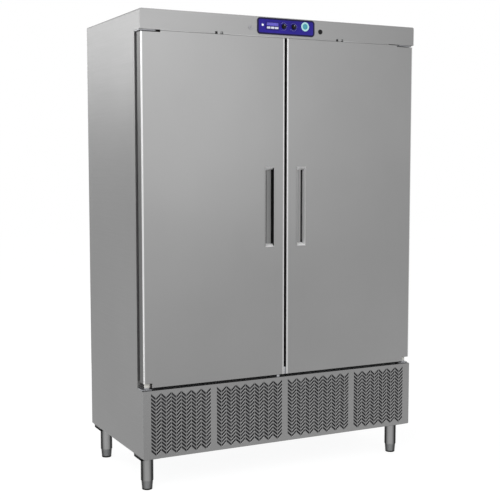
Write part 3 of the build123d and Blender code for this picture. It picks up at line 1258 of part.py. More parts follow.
def loose_solids(shapes):
    """Plain solids of a list of shapes."""
    return [solid for shape in shapes for solid in shape.solids()]


os.makedirs("parts", exist_ok=True)
for node_name, shapes in build_nodes().items():
    export_step(Compound(loose_solids(shapes)), f"parts/{node_name}.step")
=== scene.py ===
"""Dresses a two-door commercial fridge freezer with finishes, details, studio light, floor and camera."""
from __future__ import annotations

import json
import logging
import math
from dataclasses import dataclass
from enum import Enum
from typing import Callable

import bmesh
import bpy
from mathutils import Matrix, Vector

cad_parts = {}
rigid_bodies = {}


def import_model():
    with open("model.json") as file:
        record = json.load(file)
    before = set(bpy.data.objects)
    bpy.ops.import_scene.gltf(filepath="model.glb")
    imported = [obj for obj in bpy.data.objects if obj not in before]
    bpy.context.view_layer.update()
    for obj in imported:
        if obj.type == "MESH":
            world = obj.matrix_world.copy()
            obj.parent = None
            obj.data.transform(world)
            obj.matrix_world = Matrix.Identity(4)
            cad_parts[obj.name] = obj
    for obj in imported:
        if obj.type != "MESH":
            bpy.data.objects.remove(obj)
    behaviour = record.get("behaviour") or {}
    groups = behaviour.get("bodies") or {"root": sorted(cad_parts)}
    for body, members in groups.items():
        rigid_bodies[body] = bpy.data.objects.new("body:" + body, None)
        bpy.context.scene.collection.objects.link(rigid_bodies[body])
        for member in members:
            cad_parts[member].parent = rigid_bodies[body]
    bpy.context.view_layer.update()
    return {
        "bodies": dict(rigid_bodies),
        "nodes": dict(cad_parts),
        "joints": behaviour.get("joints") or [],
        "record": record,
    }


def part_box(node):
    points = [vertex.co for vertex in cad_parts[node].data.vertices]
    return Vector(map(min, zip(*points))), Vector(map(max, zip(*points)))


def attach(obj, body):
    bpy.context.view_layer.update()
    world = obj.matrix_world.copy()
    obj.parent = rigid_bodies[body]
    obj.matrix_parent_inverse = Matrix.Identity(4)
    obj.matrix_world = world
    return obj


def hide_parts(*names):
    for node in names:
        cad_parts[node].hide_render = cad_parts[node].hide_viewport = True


LOG = logging.getLogger("fridge_freezer")
SIDES = {"left": -1, "right": 1}
FEET = ("front_left", "front_right", "back_left", "back_right")
# How near counts as at a place, and how squarely a direction lies along an axis, where faces are chosen
TOUCH = 0.0001
ALONG = 0.99

Tree = bpy.types.NodeTree
Node = bpy.types.Node
Socket = bpy.types.NodeSocket
Piece = bpy.types.Object
Material = bpy.types.Material
Point = tuple[float, float, float]
Test = Callable[[Vector, Vector], bool]


class Element(Enum):
    """What a selection in edit mode is made of."""

    CORNER = "VERT"
    EDGE = "EDGE"
    FACE = "FACE"


class Axis(Enum):
    """Direction that a round piece lies along, with the turn that lays a primitive along it."""

    X = (0.0, math.pi / 2, 0.0)
    Y = (math.pi / 2, 0.0, 0.0)
    Z = (0.0, 0.0, 0.0)


def mm(length: float) -> float:
    """Millimetres to metres."""
    return length / 1000


def linear(colour: str) -> tuple[float, float, float, float]:
    """Turns an sRGB hex colour to linear light.

    Args:
        colour: The colour as six hex digits.

    Returns:
        Red, green, blue and an alpha of one.
    """
    parts = [int(colour[place:place + 2], 16) / 255 for place in (0, 2, 4)]
    red, green, blue = (c / 12.92 if c <= 0.04045 else ((c + 0.055) / 1.055) ** 2.4 for c in parts)
    return red, green, blue, 1.0


def add_node(tree: Tree, kind: str, settings: dict | None = None,
             sockets: dict | None = None) -> Node:
    """Adds a shader node with its settings, and sets or links its inputs.

    Args:
        tree: The material's or world's node tree.
        kind: The node's type name.
        settings: The node's properties by name.
        sockets: Values or output sockets by the input's name or number.

    Returns:
        The new node.
    """
    node = tree.nodes.new(kind)
    for name, value in (settings or {}).items():
        setattr(node, name, value)
    for name, value in (sockets or {}).items():
        if isinstance(value, Socket):
            tree.links.new(value, node.inputs[name])
        else:
            node.inputs[name].default_value = value
    return node


# Finishes

# The grain's share in the clouding, and the stretch of each noise that the colour and the gloss use
GRAIN_SHARE = 0.4
COLOUR_STRETCH = {"From Min": 0.45, "From Max": 0.95}
GLOSS_STRETCH = {"From Min": 0.3, "From Max": 0.7}


@dataclass(frozen=True)
class Finish:
    """A real material: two near colours, a grain that gives relief and gloss, and slow clouding.

    Sizes are in millimetres. A grain that is too fine to show is drawn as coarse as it needs.
    """

    name: str
    dark: str
    light: str
    roughness: tuple[float, float]
    metallic: float = 0.0
    grain: Point = (2.0, 2.0, 2.0)
    relief: float = 0.02
    cloud: float = 260.0
    coat: float = 0.0
    specular: float = 0.5

    def build(self) -> Material:
        """Makes the material with its shader and pattern."""
        material = bpy.data.materials.new(self.name)
        material.use_nodes = True
        tree = material.node_tree
        tree.nodes.clear()
        shader = add_node(tree, "ShaderNodeBsdfPrincipled", sockets={
            "Metallic": self.metallic, "Coat Weight": self.coat, "Specular IOR Level": self.specular,
        })
        place = add_node(tree, "ShaderNodeTexCoord").outputs["Object"]
        self.pattern(tree, shader, place)
        add_node(tree, "ShaderNodeOutputMaterial", sockets={"Surface": shader.outputs["BSDF"]})
        return material

    def pattern(self, tree: Tree, shader: Node, place: Socket) -> None:
        """Gives the shader its colour, gloss and relief from the grain and the clouding.

        Args:
            tree: The material's node tree.
            shader: The principled shader.
            place: Object coordinates.
        """
        height = self.height(tree, place)
        cloud = add_node(tree, "ShaderNodeTexNoise", sockets={
            "Vector": place, "Scale": 1000 / self.cloud, "Detail": 3.0, "Roughness": 0.5,
        })
        blend = add_node(tree, "ShaderNodeMath", {"operation": "MULTIPLY_ADD"}, {
            0: height, 1: GRAIN_SHARE, 2: cloud.outputs["Fac"],
        })
        share = add_node(tree, "ShaderNodeMapRange", sockets={
            "Value": blend.outputs["Value"], **COLOUR_STRETCH,
        })
        colour = add_node(tree, "ShaderNodeMix", {"data_type": "RGBA"}, {
            0: share.outputs["Result"], 6: linear(self.dark), 7: linear(self.light),
        })
        tree.links.new(colour.outputs[2], shader.inputs["Base Color"])
        gloss = add_node(tree, "ShaderNodeMapRange", sockets={
            "Value": height, **GLOSS_STRETCH, "To Min": self.roughness[0], "To Max": self.roughness[1],
        })
        tree.links.new(gloss.outputs["Result"], shader.inputs["Roughness"])
        bump = add_node(tree, "ShaderNodeBump", sockets={"Height": height, "Distance": mm(self.relief)})
        tree.links.new(bump.outputs["Normal"], shader.inputs["Normal"])

    def height(self, tree: Tree, place: Socket) -> Socket:
        """The grain's height, from 0 to 1.

        Args:
            tree: The material's node tree.
            place: Object coordinates.

        Returns:
            The socket that gives the height.
        """
        stretch = add_node(tree, "ShaderNodeMapping", sockets={
            "Vector": place, "Scale": tuple(1000 / size for size in self.grain),
        })
        grain = add_node(tree, "ShaderNodeTexNoise", sockets={
            "Vector": stretch.outputs["Vector"], "Scale": 1.0, "Detail": 4.0, "Roughness": 0.55,
        })
        return grain.outputs["Fac"]


@dataclass(frozen=True)
class FinnedMetal(Finish):
    """Stacked thin fins, drawn as soft dark bands about 25 mm apart, coarse enough to show; the bands' dark
    is painted shade in the gaps between the fins.
    """

    band_scale: float = 12.5

    def height(self, tree: Tree, place: Socket) -> Socket:
        """The fins' height across X."""
        wave = add_node(tree, "ShaderNodeTexWave", {"wave_type": "BANDS", "bands_direction": "X"}, {
            "Vector": place, "Scale": self.band_scale, "Distortion": 0.0,
        })
        return wave.outputs["Fac"]


@dataclass(frozen=True)
class CellularFoam(Finish):
    """Rigid foam's closed cells."""

    def height(self, tree: Tree, place: Socket) -> Socket:
        """The cells' height."""
        cells = add_node(tree, "ShaderNodeTexVoronoi", sockets={
            "Vector": place, "Scale": 1000 / self.grain[0],
        })
        return cells.outputs["Distance"]


@dataclass(frozen=True)
class SpangledZinc(Finish):
    """Hot-dip zinc's crystals, each of its own even grey."""

    def height(self, tree: Tree, place: Socket) -> Socket:
        """The crystals' height, the same all over each one."""
        cells = add_node(tree, "ShaderNodeTexVoronoi", sockets={
            "Vector": place, "Scale": 1000 / self.grain[0],
        })
        grey = add_node(tree, "ShaderNodeSeparateXYZ", sockets={0: cells.outputs["Color"]})
        return grey.outputs["X"]


@dataclass(frozen=True)
class BentSheet(Finish):
    """Brushed sheet with painted highlights down its upright front bends and painted shade on the side
    faces of its hinge edges.
    """

    bends: tuple[float, float] = (6.5, 686.5)
    highlight_widths: tuple[float, float] = (8.0, 5.0)
    front: float = -346.0
    highlight_depth: float = 12.0
    # Colours of the painted highlights on the two bends.
    painted_highlights: tuple[str, str] = ("C4C4C4", "CCCCCC")
    flank_width: float = 1.5
    # Colour of the painted shade on the side face at the hinge edge.
    painted_flank_shade: str = "5C5C5C"
    even_share: float = 0.7

    def near(self, tree: Tree, distance: Socket, level: float,
             reach: float) -> Socket:
        """One where a coordinate is near a level, fading to nothing at the reach.

        Args:
            tree: The material's node tree.
            distance: The coordinate in metres.
            level: The level in millimetres.
            reach: How far from it the share reaches, in millimetres.

        Returns:
            The socket with the share.
        """
        gap = add_node(tree, "ShaderNodeMath", {"operation": "SUBTRACT"}, {0: distance, 1: mm(level)})
        away = add_node(tree, "ShaderNodeMath", {"operation": "ABSOLUTE"}, {0: gap.outputs["Value"]})
        return add_node(tree, "ShaderNodeMapRange", sockets={
            "Value": away.outputs["Value"], "From Min": mm(reach) * self.even_share, "From Max": mm(reach),
            "To Min": 1.0, "To Max": 0.0,
        }).outputs["Result"]

    def pattern(self, tree: Tree, shader: Node, place: Socket) -> None:
        """Adds the painted highlights on the bends and the painted shade on the hinge-side faces to the
        plain pattern.
        """
        super().pattern(tree, shader, place)
        base = shader.inputs["Base Color"].links[0].from_socket
        axes = add_node(tree, "ShaderNodeSeparateXYZ", sockets={0: place})
        away = add_node(tree, "ShaderNodeMath", {"operation": "ABSOLUTE"}, {0: axes.outputs["X"]})
        # Painted shade: the side face at the hinge edge turns a flat dark grey.
        side = self.near(tree, away.outputs["Value"], self.bends[1], self.flank_width)
        base = add_node(tree, "ShaderNodeMix", {"data_type": "RGBA"}, {
            0: side, 6: base, 7: linear(self.painted_flank_shade),
        }).outputs[2]
        # Painted highlights: near the front, each upright bend is lightened.
        shallow = self.near(tree, axes.outputs["Y"], self.front, self.highlight_depth)
        for bend, width, painted_highlights in zip(self.bends, self.highlight_widths, self.painted_highlights):
            beside = self.near(tree, away.outputs["Value"], bend, width)
            share = add_node(tree, "ShaderNodeMath", {"operation": "MULTIPLY"}, {0: shallow, 1: beside})
            base = add_node(tree, "ShaderNodeMix", {"data_type": "RGBA"}, {
                0: share.outputs["Value"], 6: base, 7: linear(painted_highlights),
            }).outputs[2]
        tree.links.new(base, shader.inputs["Base Color"])


@dataclass(frozen=True)
class DrawnTube(Finish):
    """A round leg or foot with a painted reflection: its colour turns dark towards its edges as seen, as if
    it mirrored the dark beside the light.
    """

    # Colour of the painted reflection at the edges as seen.
    painted_reflection_colour: str = "0A0A0A"
    fade: tuple[float, float] = (0.06, 0.36)

    def pattern(self, tree: Tree, shader: Node, place: Socket) -> None:
        """Adds the painted reflection's darkening to the plain pattern."""
        super().pattern(tree, shader, place)
        base = shader.inputs["Base Color"].links[0].from_socket
        facing = add_node(tree, "ShaderNodeLayerWeight", sockets={"Blend": 0.5}).outputs["Facing"]
        share = add_node(tree, "ShaderNodeMapRange", sockets={
            "Value": facing, "From Min": self.fade[0], "From Max": self.fade[1],
        })
        colour = add_node(tree, "ShaderNodeMix", {"data_type": "RGBA"}, {
            0: share.outputs["Result"], 6: base, 7: linear(self.painted_reflection_colour),
        })
        tree.links.new(colour.outputs[2], shader.inputs["Base Color"])


@dataclass(frozen=True)
class LitWindow(Finish):
    """A tinted window with a light behind it, brighter in patches."""

    glow: str = "FFFFFF"
    strength: float = 0.5

    def pattern(self, tree: Tree, shader: Node, place: Socket) -> None:
        """Adds the light behind the window to the plain pattern."""
        super().pattern(tree, shader, place)
        haze = add_node(tree, "ShaderNodeTexNoise", sockets={
            "Vector": place, "Scale": 1000 / self.grain[0],
        })
        lit = add_node(tree, "ShaderNodeMix", {"data_type": "RGBA"}, {
            0: haze.outputs["Fac"], 6: linear(self.dark), 7: linear(self.glow),
        })
        tree.links.new(lit.outputs[2], shader.inputs["Emission Color"])
        shader.inputs["Emission Strength"].default_value = self.strength


# Stainless steel sheet, brushed upright on the doors and across on the cabinet: a soft grey shine that
# spreads along the strokes. The strokes are about 0.2 mm wide and are drawn ten times as coarse.
# The doors' sheet carries painted highlights on its front bends and painted shade on its hinge-side faces.
DOOR_STEEL = BentSheet("brushed_stainless_upright", "8B8B8B", "929292", (0.4, 0.46), 1.0, (2.0, 2.0, 260.0),
                       0.004, 700.0)
CABINET_STEEL = Finish("brushed_stainless_across", "8A8A8A", "909090", (0.4, 0.46), 1.0,
                       (260.0, 260.0, 2.0), 0.004, 700.0)
# The side panels' sheet, the same stainless coloured darker as painted shade, with the strokes running back
# from the front.
SIDE_STEEL_PAINTED_SHADE = Finish("brushed_stainless_side", "7C7C7C", "828282", (0.4, 0.46), 1.0, (260.0, 260.0, 2.0),
                    0.004, 700.0)
# The same sheet after pressing: the strokes are cut up by the slots, and it shines a little less.
GRILLE_STEEL = Finish("pressed_stainless", "868686", "8E8E8E", (0.4, 0.5), 1.0, (3.0, 3.0, 3.0), 0.004,
                      500.0)
# The header's folded edge, coloured lighter and a little smoother than the sheet: painted light in the
# shade of the seam over the doors.
FOLD_STEEL_PAINTED_LIGHT = Finish("fold_painted_light", "A6A6A6", "B0B0B0", (0.3, 0.38), 1.0, (40.0, 2.0, 2.0), 0.003, 300.0)
# Bright rolled stainless of the inner tubs: smoother and a little lighter.
LINER_STEEL = Finish("rolled_stainless", "B4B5B7", "C6C7C9", (0.28, 0.36), 1.0, (180.0, 180.0, 3.0), 0.003)
# Hot-dip zinc coating: matt, with crystals about 12 mm across, each of its own grey.
ZINC_SHEET = SpangledZinc("zinc_coated_sheet", "8E9194", "A6A9AC", (0.42, 0.55), 0.85, (12.0, 12.0, 12.0),
                          0.002, 1600.0)
# Drawn stainless tube, polished round: an even grey down its middle that turns black towards both edges as
# a painted reflection.
LEG_STEEL = DrawnTube("satin_stainless_tube", "8E8E8E", "9A9A9A", (0.3, 0.36), 1.0, (3.0, 3.0, 90.0), 0.004,
                      200.0)
# Zinc-plated steel plate of the hinges, dull beside the brushed sheet.
HINGE_STEEL = Finish("zinc_plated_plate", "8C8D90", "A4A5A8", (0.4, 0.55), 0.9, (4.0, 4.0, 4.0), 0.01)
# Nickel-plated zinc casting of the locks, worn smooth, and the same casting coloured black.
LOCK_METAL = Finish("nickel_plated_casting", "7C7C7E", "8E8E90", (0.3, 0.4), 1.0, (1.5, 1.5, 1.5), 0.004)
LOCK_BLACK = Finish("casting_coloured_black", "060607", "0E0E10", (0.35, 0.5), 0.0, (1.5, 1.5, 1.5), 0.004,
                    specular=0.2)
# Polyurethane foam, cut and sealed behind the sheets.
FOAM = CellularFoam("polyurethane_foam", "CDB888", "E6D6A8", (0.8, 0.95), 0.0, (1.6, 1.6, 1.6), 0.3)
# Polycarbonate overlay, printed blue on its back: even colour under a fine satin face.
OVERLAY_BLUE = Finish("printed_overlay_blue", "1C127A", "291D8E", (0.45, 0.55), 0.0, (0.8, 0.8, 0.8), 0.003,
                      90.0, specular=0.2)
OVERLAY_RIM = Finish("printed_overlay_navy", "0B0530", "12083E", (0.45, 0.55), 0.0, (0.8, 0.8, 0.8), 0.003,
                     60.0, specular=0.2)
# Pale screen ink of the scales and pointers: matt, and thick enough to stand off the plastic.
PRINT_PALE = Finish("screen_print_pale", "C9CCEA", "DEE2F6", (0.4, 0.5), 0.0, (0.5, 0.5, 0.5), 0.002, 20.0)
# ABS of the controller and small housings: fine spark-eroded grain.
BLACK_ABS = Finish("moulded_abs_black", "0A0A0B", "151517", (0.5, 0.65), 0.0, (0.7, 0.7, 0.7), 0.02,
                   specular=0.2)
NAVY_ABS = Finish("moulded_abs_navy", "150C58", "1D136E", (0.5, 0.62), 0.0, (0.7, 0.7, 0.7), 0.015,
                  specular=0.2)
# ABS of the knobs: satin, with the black of the tool's polish.
KNOB_ABS = Finish("moulded_knob_black", "040405", "0B0B0D", (0.45, 0.55), 0.0, (0.6, 0.6, 0.6), 0.01,
                  specular=0.2)
# Silicone rubber keys: soft, slightly blue white.
BUTTON_WHITE = Finish("silicone_keys_white", "CED0E2", "E0E2EE", (0.5, 0.6), 0.0, (0.6, 0.6, 0.6), 0.01,
                      specular=0.3)
# Acrylic window over the display: smooth, with the display's dim light behind it.
DISPLAY = LitWindow("tinted_display_window", "3A30A0", "5046B8", (0.2, 0.3), 0.0, (9.0, 9.0, 9.0), 0.001,
                    40.0, glow="8078D8", strength=0.12)
# Polycarbonate lenses of the pilot lamps.
LENS_TEAL = LitWindow("lamp_lens_teal", "1C6E84", "3494A4", (0.2, 0.3), 0.0, (4.0, 4.0, 4.0), 0.002, 30.0,
                      glow="5CC8D0", strength=0.1)
RING_TEAL = Finish("lamp_ring_pale_teal", "A0D4D8", "BCE6E6", (0.4, 0.5), 0.0, (0.8, 0.8, 0.8), 0.004, 20.0)
LENS_WHITE = LitWindow("lamp_lens_white", "D8DEE8", "F0F4FA", (0.1, 0.18), 0.0, (4.0, 4.0, 4.0), 0.002,
                       30.0, strength=0.2)
# ABS of the handle pockets: grey where the fingers rest; painted light makes the wall that faces the light
# paler, and a painted highlight makes the sloped ends that catch it nearly white.
HANDLE_ABS = Finish("moulded_abs_grey", "9A9A9A", "A8A8A8", (0.4, 0.52), 0.0, (0.8, 0.8, 0.8), 0.015)
HANDLE_PAINTED_HIGHLIGHT = Finish("abs_ledge_painted_highlight", "F4F4F4", "FAFAFA", (0.3, 0.4), 0.0, (0.8, 0.8, 0.8), 0.006)
HANDLE_PAINTED_LIGHT = Finish("moulded_abs_painted_light", "D4D4D4", "E0E0E0", (0.4, 0.5), 0.0, (0.8, 0.8, 0.8), 0.01)
# Knitted dust mat behind the grille: loops of black wire with dark air between them; the black also stands
# in as painted shade behind the slots.
DUST_MAT = CellularFoam("knitted_dust_mat", "29292B", "3C3C3F", (0.7, 0.9), 0.0, (3.0, 3.0, 3.0), 1.2, 90.0,
                        specular=0.1)
# Extruded soft PVC with a magnet strip inside.
GASKET_PVC = Finish("extruded_soft_pvc", "828388", "929398", (0.5, 0.65), 0.0, (60.0, 60.0, 1.0), 0.02,
                    120.0)
# Unfilled nylon of the hinge bushes: slightly waxy and yellowish.
NYLON = Finish("natural_nylon", "CCCBC6", "DEDDD8", (0.35, 0.45), 0.0, (1.0, 1.0, 1.0), 0.01)
# Glass-filled nylon of the feet, grey and satin, and the black rubber under it that grips the floor.
# The feet's grey turns dark towards their edges as seen: the same painted reflection as on the legs.
FOOT_PLASTIC = DrawnTube("glass_filled_nylon_grey", "7E7F80", "909192", (0.42, 0.55), 0.0,
                         (0.9, 0.9, 0.9), 0.02)
SOLE_RUBBER = Finish("moulded_rubber_black", "040404", "0A0A0B", (0.7, 0.85), 0.0, (0.9, 0.9, 0.9), 0.03,
                     specular=0.1)
# Polyamide-coated steel wire: a soft white skin, slightly uneven.
COATED_WIRE = Finish("coated_steel_wire", "C8CACC", "E0E2E4", (0.3, 0.42), 0.0, (3.0, 3.0, 3.0), 0.03)
# Thin aluminium fins on the coils: pale metal with darker bands across it, painted shade between the fins.
FINS = FinnedMetal("aluminium_fins", "5A5C5E", "B8BBBE", (0.3, 0.45), 1.0, (4.0, 4.0, 4.0), 0.8)
# Sprayed steel of the motors and fan frames: flat dark grey.
DARK_STEEL = Finish("painted_steel_dark", "232426", "34363A", (0.4, 0.55), 0.0, (1.2, 1.2, 1.2), 0.02)
# Stoved enamel on the compressors: thick, glossy and slightly wavy.
COMPRESSOR_ENAMEL = Finish("stoved_enamel_black", "0A0A0B", "151517", (0.18, 0.3), 0.0, (6.0, 6.0, 6.0),
                           0.03, 120.0, 0.4)
# Drawn copper tube, dulled by soldering in places.
COPPER = Finish("drawn_copper_tube", "9A5A3C", "C27A54", (0.25, 0.42), 1.0, (8.0, 8.0, 8.0), 0.01, 60.0)
# Polypropylene of the fans and drains: black with a waxy shine.
FAN_PLASTIC = Finish("moulded_polypropylene_black", "131315", "202124", (0.4, 0.5), 0.0,
                     (1.0, 1.0, 1.0), 0.015)

NODE_FINISH = {
    "cabinet_steel": CABINET_STEEL, "door_steel": DOOR_STEEL, "liner_steel": LINER_STEEL,
    "galvanised_steel": ZINC_SHEET, "leg_steel": LEG_STEEL, "hinge_steel": HINGE_STEEL,
    "insulation_foam": FOAM, "panel_plastic": OVERLAY_BLUE, "black_plastic": BLACK_ABS,
    "display_lens": DISPLAY, "knob_plastic": KNOB_ABS, "button_plastic": BUTTON_WHITE,
    "lamp_lens": LENS_TEAL, "lock_metal": LOCK_METAL, "gasket_rubber": GASKET_PVC,
    "handle_plastic": HANDLE_ABS, "bush_nylon": NYLON, "foot_plastic": FOOT_PLASTIC,
    "shelf_wire": COATED_WIRE, "coil_aluminium": FINS, "motor_casting": DARK_STEEL,
    "compressor_shell": COMPRESSOR_ENAMEL, "copper": COPPER, "fan_plastic": FAN_PLASTIC,
}
NODE_OVERRIDE = {
    "controller": NAVY_ABS, "lock_plug_right": LOCK_BLACK,
    "side_panel_left": SIDE_STEEL_PAINTED_SHADE, "side_panel_right": SIDE_STEEL_PAINTED_SHADE,
}


class Paintshop:
    """Builds each finish once and hands out its material."""

    def __init__(self) -> None:
        """Starts with no material made."""
        self.made: dict[str, Material] = {}

    def get(self, finish: Finish) -> Material:
        """The finish's material, made at its first use."""
        if finish.name not in self.made:
            self.made[finish.name] = finish.build()
        return self.made[finish.name]

    def coat_nodes(self, nodes: dict[str, Piece], subparts: list[dict]) -> None:
        """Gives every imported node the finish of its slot.

        Args:
            nodes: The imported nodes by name.
            subparts: The record's list of nodes and slots.
        """
        for row in subparts:
            node = nodes[row["node"]]
            material = self.get(NODE_OVERRIDE.get(row["node"], NODE_FINISH[row["material_slot"]]))
            for slot in node.material_slots:
                slot.material = material


# Modelling steps


def put_down() -> None:
    """Leaves edit mode and deselects everything."""
    if bpy.context.mode != "OBJECT":
        bpy.ops.object.mode_set(mode="OBJECT")
    bpy.ops.object.select_all(action="DESELECT")


def take(*pieces: Piece) -> None:
    """Selects the pieces given and nothing else, the first of them active."""
    put_down()
    for piece in pieces:
        piece.select_set(True)
    bpy.context.view_layer.objects.active = pieces[0]


def halfway(low: Vector | Point, high: Vector | Point) -> Point:
    """The point halfway between two corners."""
    return tuple((a + b) / 2 for a, b in zip(low, high))


def everything(_centre: Vector, _direction: Vector) -> bool:
    """A test that takes everything."""
    return True


def facing_front(_centre: Vector, normal: Vector) -> bool:
    """A test that takes the faces that look to the front."""
    return normal.y < -ALONG


def settle(name: str, size: Point = (1.0, 1.0, 1.0)) -> Piece:
    """Names the active piece, stretches it and applies its place to its mesh.

    Args:
        name: The piece's name.
        size: How many times larger it becomes along each of its own axes.

    Returns:
        The piece.
    """
    piece = bpy.context.active_object
    piece.name = name
    piece.scale = size
    bpy.ops.object.transform_apply(location=True, rotation=True, scale=True)
    return piece


def add_block(name: str, low: Point, high: Point) -> Piece:
    """Adds a cube primitive between two corners.

    Args:
        name: The piece's name.
        low: Lowest corner.
        high: Highest corner.

    Returns:
        The new piece.
    """
    put_down()
    bpy.ops.mesh.primitive_cube_add(size=1, location=halfway(low, high))
    return settle(name, tuple(b - a for a, b in zip(low, high)))


def add_round(name: str, middle: Point, radius: float, length: float, axis: Axis, sides: int = 48) -> Piece:
    """Adds a cylinder primitive round a point.

    Args:
        name: The piece's name.
        middle: The cylinder's middle.
        radius: Its radius.
        length: Its length.
        axis: The direction it lies along.
        sides: How many sides it has.

    Returns:
        The new piece.
    """
    put_down()
    bpy.ops.mesh.primitive_cylinder_add(
        vertices=sides, radius=radius, depth=length, location=middle, rotation=axis.value)
    return settle(name)


def add_tube(name: str, middle: Point, radius: float, bore: float, length: float, axis: Axis) -> Piece:
    """Adds a cylinder primitive and opens a bore through it.

    Args:
        name: The piece's name.
        middle: The tube's middle.
        radius: Its outer radius.
        bore: Its bore's radius.
        length: Its length.
        axis: The direction it lies along.

    Returns:
        The new piece.
    """
    piece = add_round(name, middle, radius, length, axis)
    along = "XYZ".index(axis.name)
    choose(piece, Element.FACE, lambda _, normal: abs(normal[along]) > ALONG)
    bpy.ops.mesh.inset(thickness=radius - bore, depth=0, use_individual=True)
    bpy.ops.mesh.bridge_edge_loops()
    put_down()
    return piece


def add_sheet(name: str, centre: Point, size: tuple[float, float]) -> Piece:
    """Adds a plane primitive that stands upright and faces the front.

    Args:
        name: The piece's name.
        centre: Its centre.
        size: Its width along X and its height along Z.

    Returns:
        The new piece.
    """
    put_down()
    bpy.ops.mesh.primitive_plane_add(size=1, location=centre, rotation=Axis.Y.value)
    return settle(name, (size[0], size[1], 1))


def modify(piece: Piece, kind: str, **settings: float | str | bool | Point | Piece) -> None:
    """Applies a modifier to a piece.

    Args:
        piece: The piece.
        kind: The modifier's type name.
        settings: Its properties by name.
    """
    take(piece)
    change = piece.modifiers.new("change", kind)
    for name, value in settings.items():
        setattr(change, name, value)
    bpy.ops.object.modifier_apply(modifier=change.name)


def smooth(piece: Piece, angle: float = 40.0) -> None:
    """Shades a piece smooth, but for the edges sharper than an angle in degrees."""
    take(piece)
    bpy.ops.object.shade_smooth_by_angle(angle=math.radians(angle))


def pull(shift: Point, edges: bool = False) -> None:
    """Extrudes what is chosen in edit mode.

    Args:
        shift: How far it goes, in metres.
        edges: Whether edges are chosen, and not faces.
    """
    extrude = bpy.ops.mesh.extrude_edges_move if edges else bpy.ops.mesh.extrude_region_move
    extrude(TRANSFORM_OT_translate={"value": shift})


def thicken(piece: Piece, thickness: float, offset: float = -1.0) -> None:
    """Gives a sheet its thickness by an applied Solidify modifier.

    Args:
        piece: The sheet.
        thickness: Its thickness in metres.
        offset: Which side it grows to, from -1 behind the sheet to 1 in front.
    """
    modify(piece, "SOLIDIFY", thickness=thickness, offset=offset, use_even_offset=True)


def choose(piece: Piece, element: Element, test: Test) -> None:
    """Selects in edit mode what passes a test, and nothing else.

    Args:
        piece: The piece to edit.
        element: Corners, edges or faces.
        test: Gets the centre and the direction, which is a face's or corner's normal or an edge's line.
    """
    if bpy.context.mode == "OBJECT":
        take(piece)
        bpy.ops.object.mode_set(mode="EDIT")
    bpy.ops.mesh.select_mode(type=element.value)
    bpy.ops.mesh.select_all(action="DESELECT")
    mesh = bmesh.from_edit_mesh(piece.data)
    mesh.normal_update()
    if element is Element.FACE:
        rows = [(face, face.calc_center_median(), face.normal) for face in mesh.faces]
    elif element is Element.EDGE:
        rows = [(edge, (edge.verts[0].co + edge.verts[1].co) / 2,
                 (edge.verts[1].co - edge.verts[0].co).normalized()) for edge in mesh.edges]
    else:
        rows = [(corner, corner.co, corner.normal) for corner in mesh.verts]
    for item, centre, direction in rows:
        if test(centre, direction):
            item.select_set(True)
    mesh.select_flush_mode()
    bmesh.update_edit_mesh(piece.data)


def soften(piece: Piece, width: float, steps: int = 2, angle: float = 30.0) -> None:
    """Bevels a piece's sharp edges and shades the rest smooth.

    Args:
        piece: The piece.
        width: The bevel's width in metres.
        steps: How many faces the bevel has across.
        angle: Least angle in degrees of an edge that is bevelled.
    """
    modify(piece, "BEVEL", width=width, segments=steps, limit_method="ANGLE",
           angle_limit=math.radians(angle))
    smooth(piece)


def repeat(piece: Piece, count: int, step: Point) -> None:
    """Repeats a piece in a row by an applied Array modifier.

    Args:
        piece: The piece.
        count: How many there are in the end.
        step: From one to the next, in metres.
    """
    modify(piece, "ARRAY", count=count, use_relative_offset=False, use_constant_offset=True,
           constant_offset_displace=step, use_merge_vertices=True, merge_threshold=mm(0.01))


def copy_to(piece: Piece, name: str, shift: Point) -> Piece:
    """Copies a piece with its own mesh, moved by a shift.

    Args:
        piece: The piece to copy.
        name: The copy's name.
        shift: How far it moves, in metres.

    Returns:
        The copy.
    """
    take(piece)
    bpy.ops.object.duplicate(linked=False)
    bpy.context.active_object.location = shift
    return settle(name)


def weld(pieces: list[Piece], name: str) -> Piece:
    """Joins pieces into one and merges corners that coincide.

    Args:
        pieces: The pieces, the first of which stays.
        name: The joined piece's name.

    Returns:
        The joined piece.
    """
    take(*pieces)
    if len(pieces) > 1:
        bpy.ops.object.join()
    piece = bpy.context.active_object
    piece.name = name
    bpy.ops.object.mode_set(mode="EDIT")
    bpy.ops.mesh.select_all(action="SELECT")
    bpy.ops.mesh.remove_doubles(threshold=mm(0.02))
    bpy.ops.mesh.normals_make_consistent(inside=False)
    put_down()
    return piece


@dataclass
class SubAssembly:
    """What the sub-assemblies share: the materials' source and a piece's finishing. Sizes are in metres."""

    shop: Paintshop

    def coat(self, piece: Piece, *finishes: Finish) -> None:
        """Puts materials on a piece, in the order of its material slots."""
        for finish in finishes:
            piece.data.materials.append(self.shop.get(finish))

    def finish(self, piece: Piece, body: str, *finishes: Finish, slot: str | None = None,
               stands_for: tuple[str, ...] = ()) -> None:
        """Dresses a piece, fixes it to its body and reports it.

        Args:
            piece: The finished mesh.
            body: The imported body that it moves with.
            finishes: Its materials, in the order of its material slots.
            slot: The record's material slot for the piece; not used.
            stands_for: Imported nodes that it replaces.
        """
        put_down()
        piece.data.name = piece.name
        if not piece.data.materials:
            self.coat(piece, *finishes)
        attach(piece, body)
        if stands_for:
            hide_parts(*stands_for)
        LOG.info("%s on %s: %d faces", piece.name, body, len(piece.data.polygons))

    def paint(self, piece: Piece, number: int, test: Test) -> None:
        """Gives the faces that pass a test another of the piece's materials.

        Args:
            piece: The piece, whose materials are already on it.
            number: The material slot's number.
            test: Gets a face's centre and normal.
        """
        choose(piece, Element.FACE, test)
        piece.active_material_index = number
        bpy.ops.object.material_slot_assign()
        put_down()


# The grille


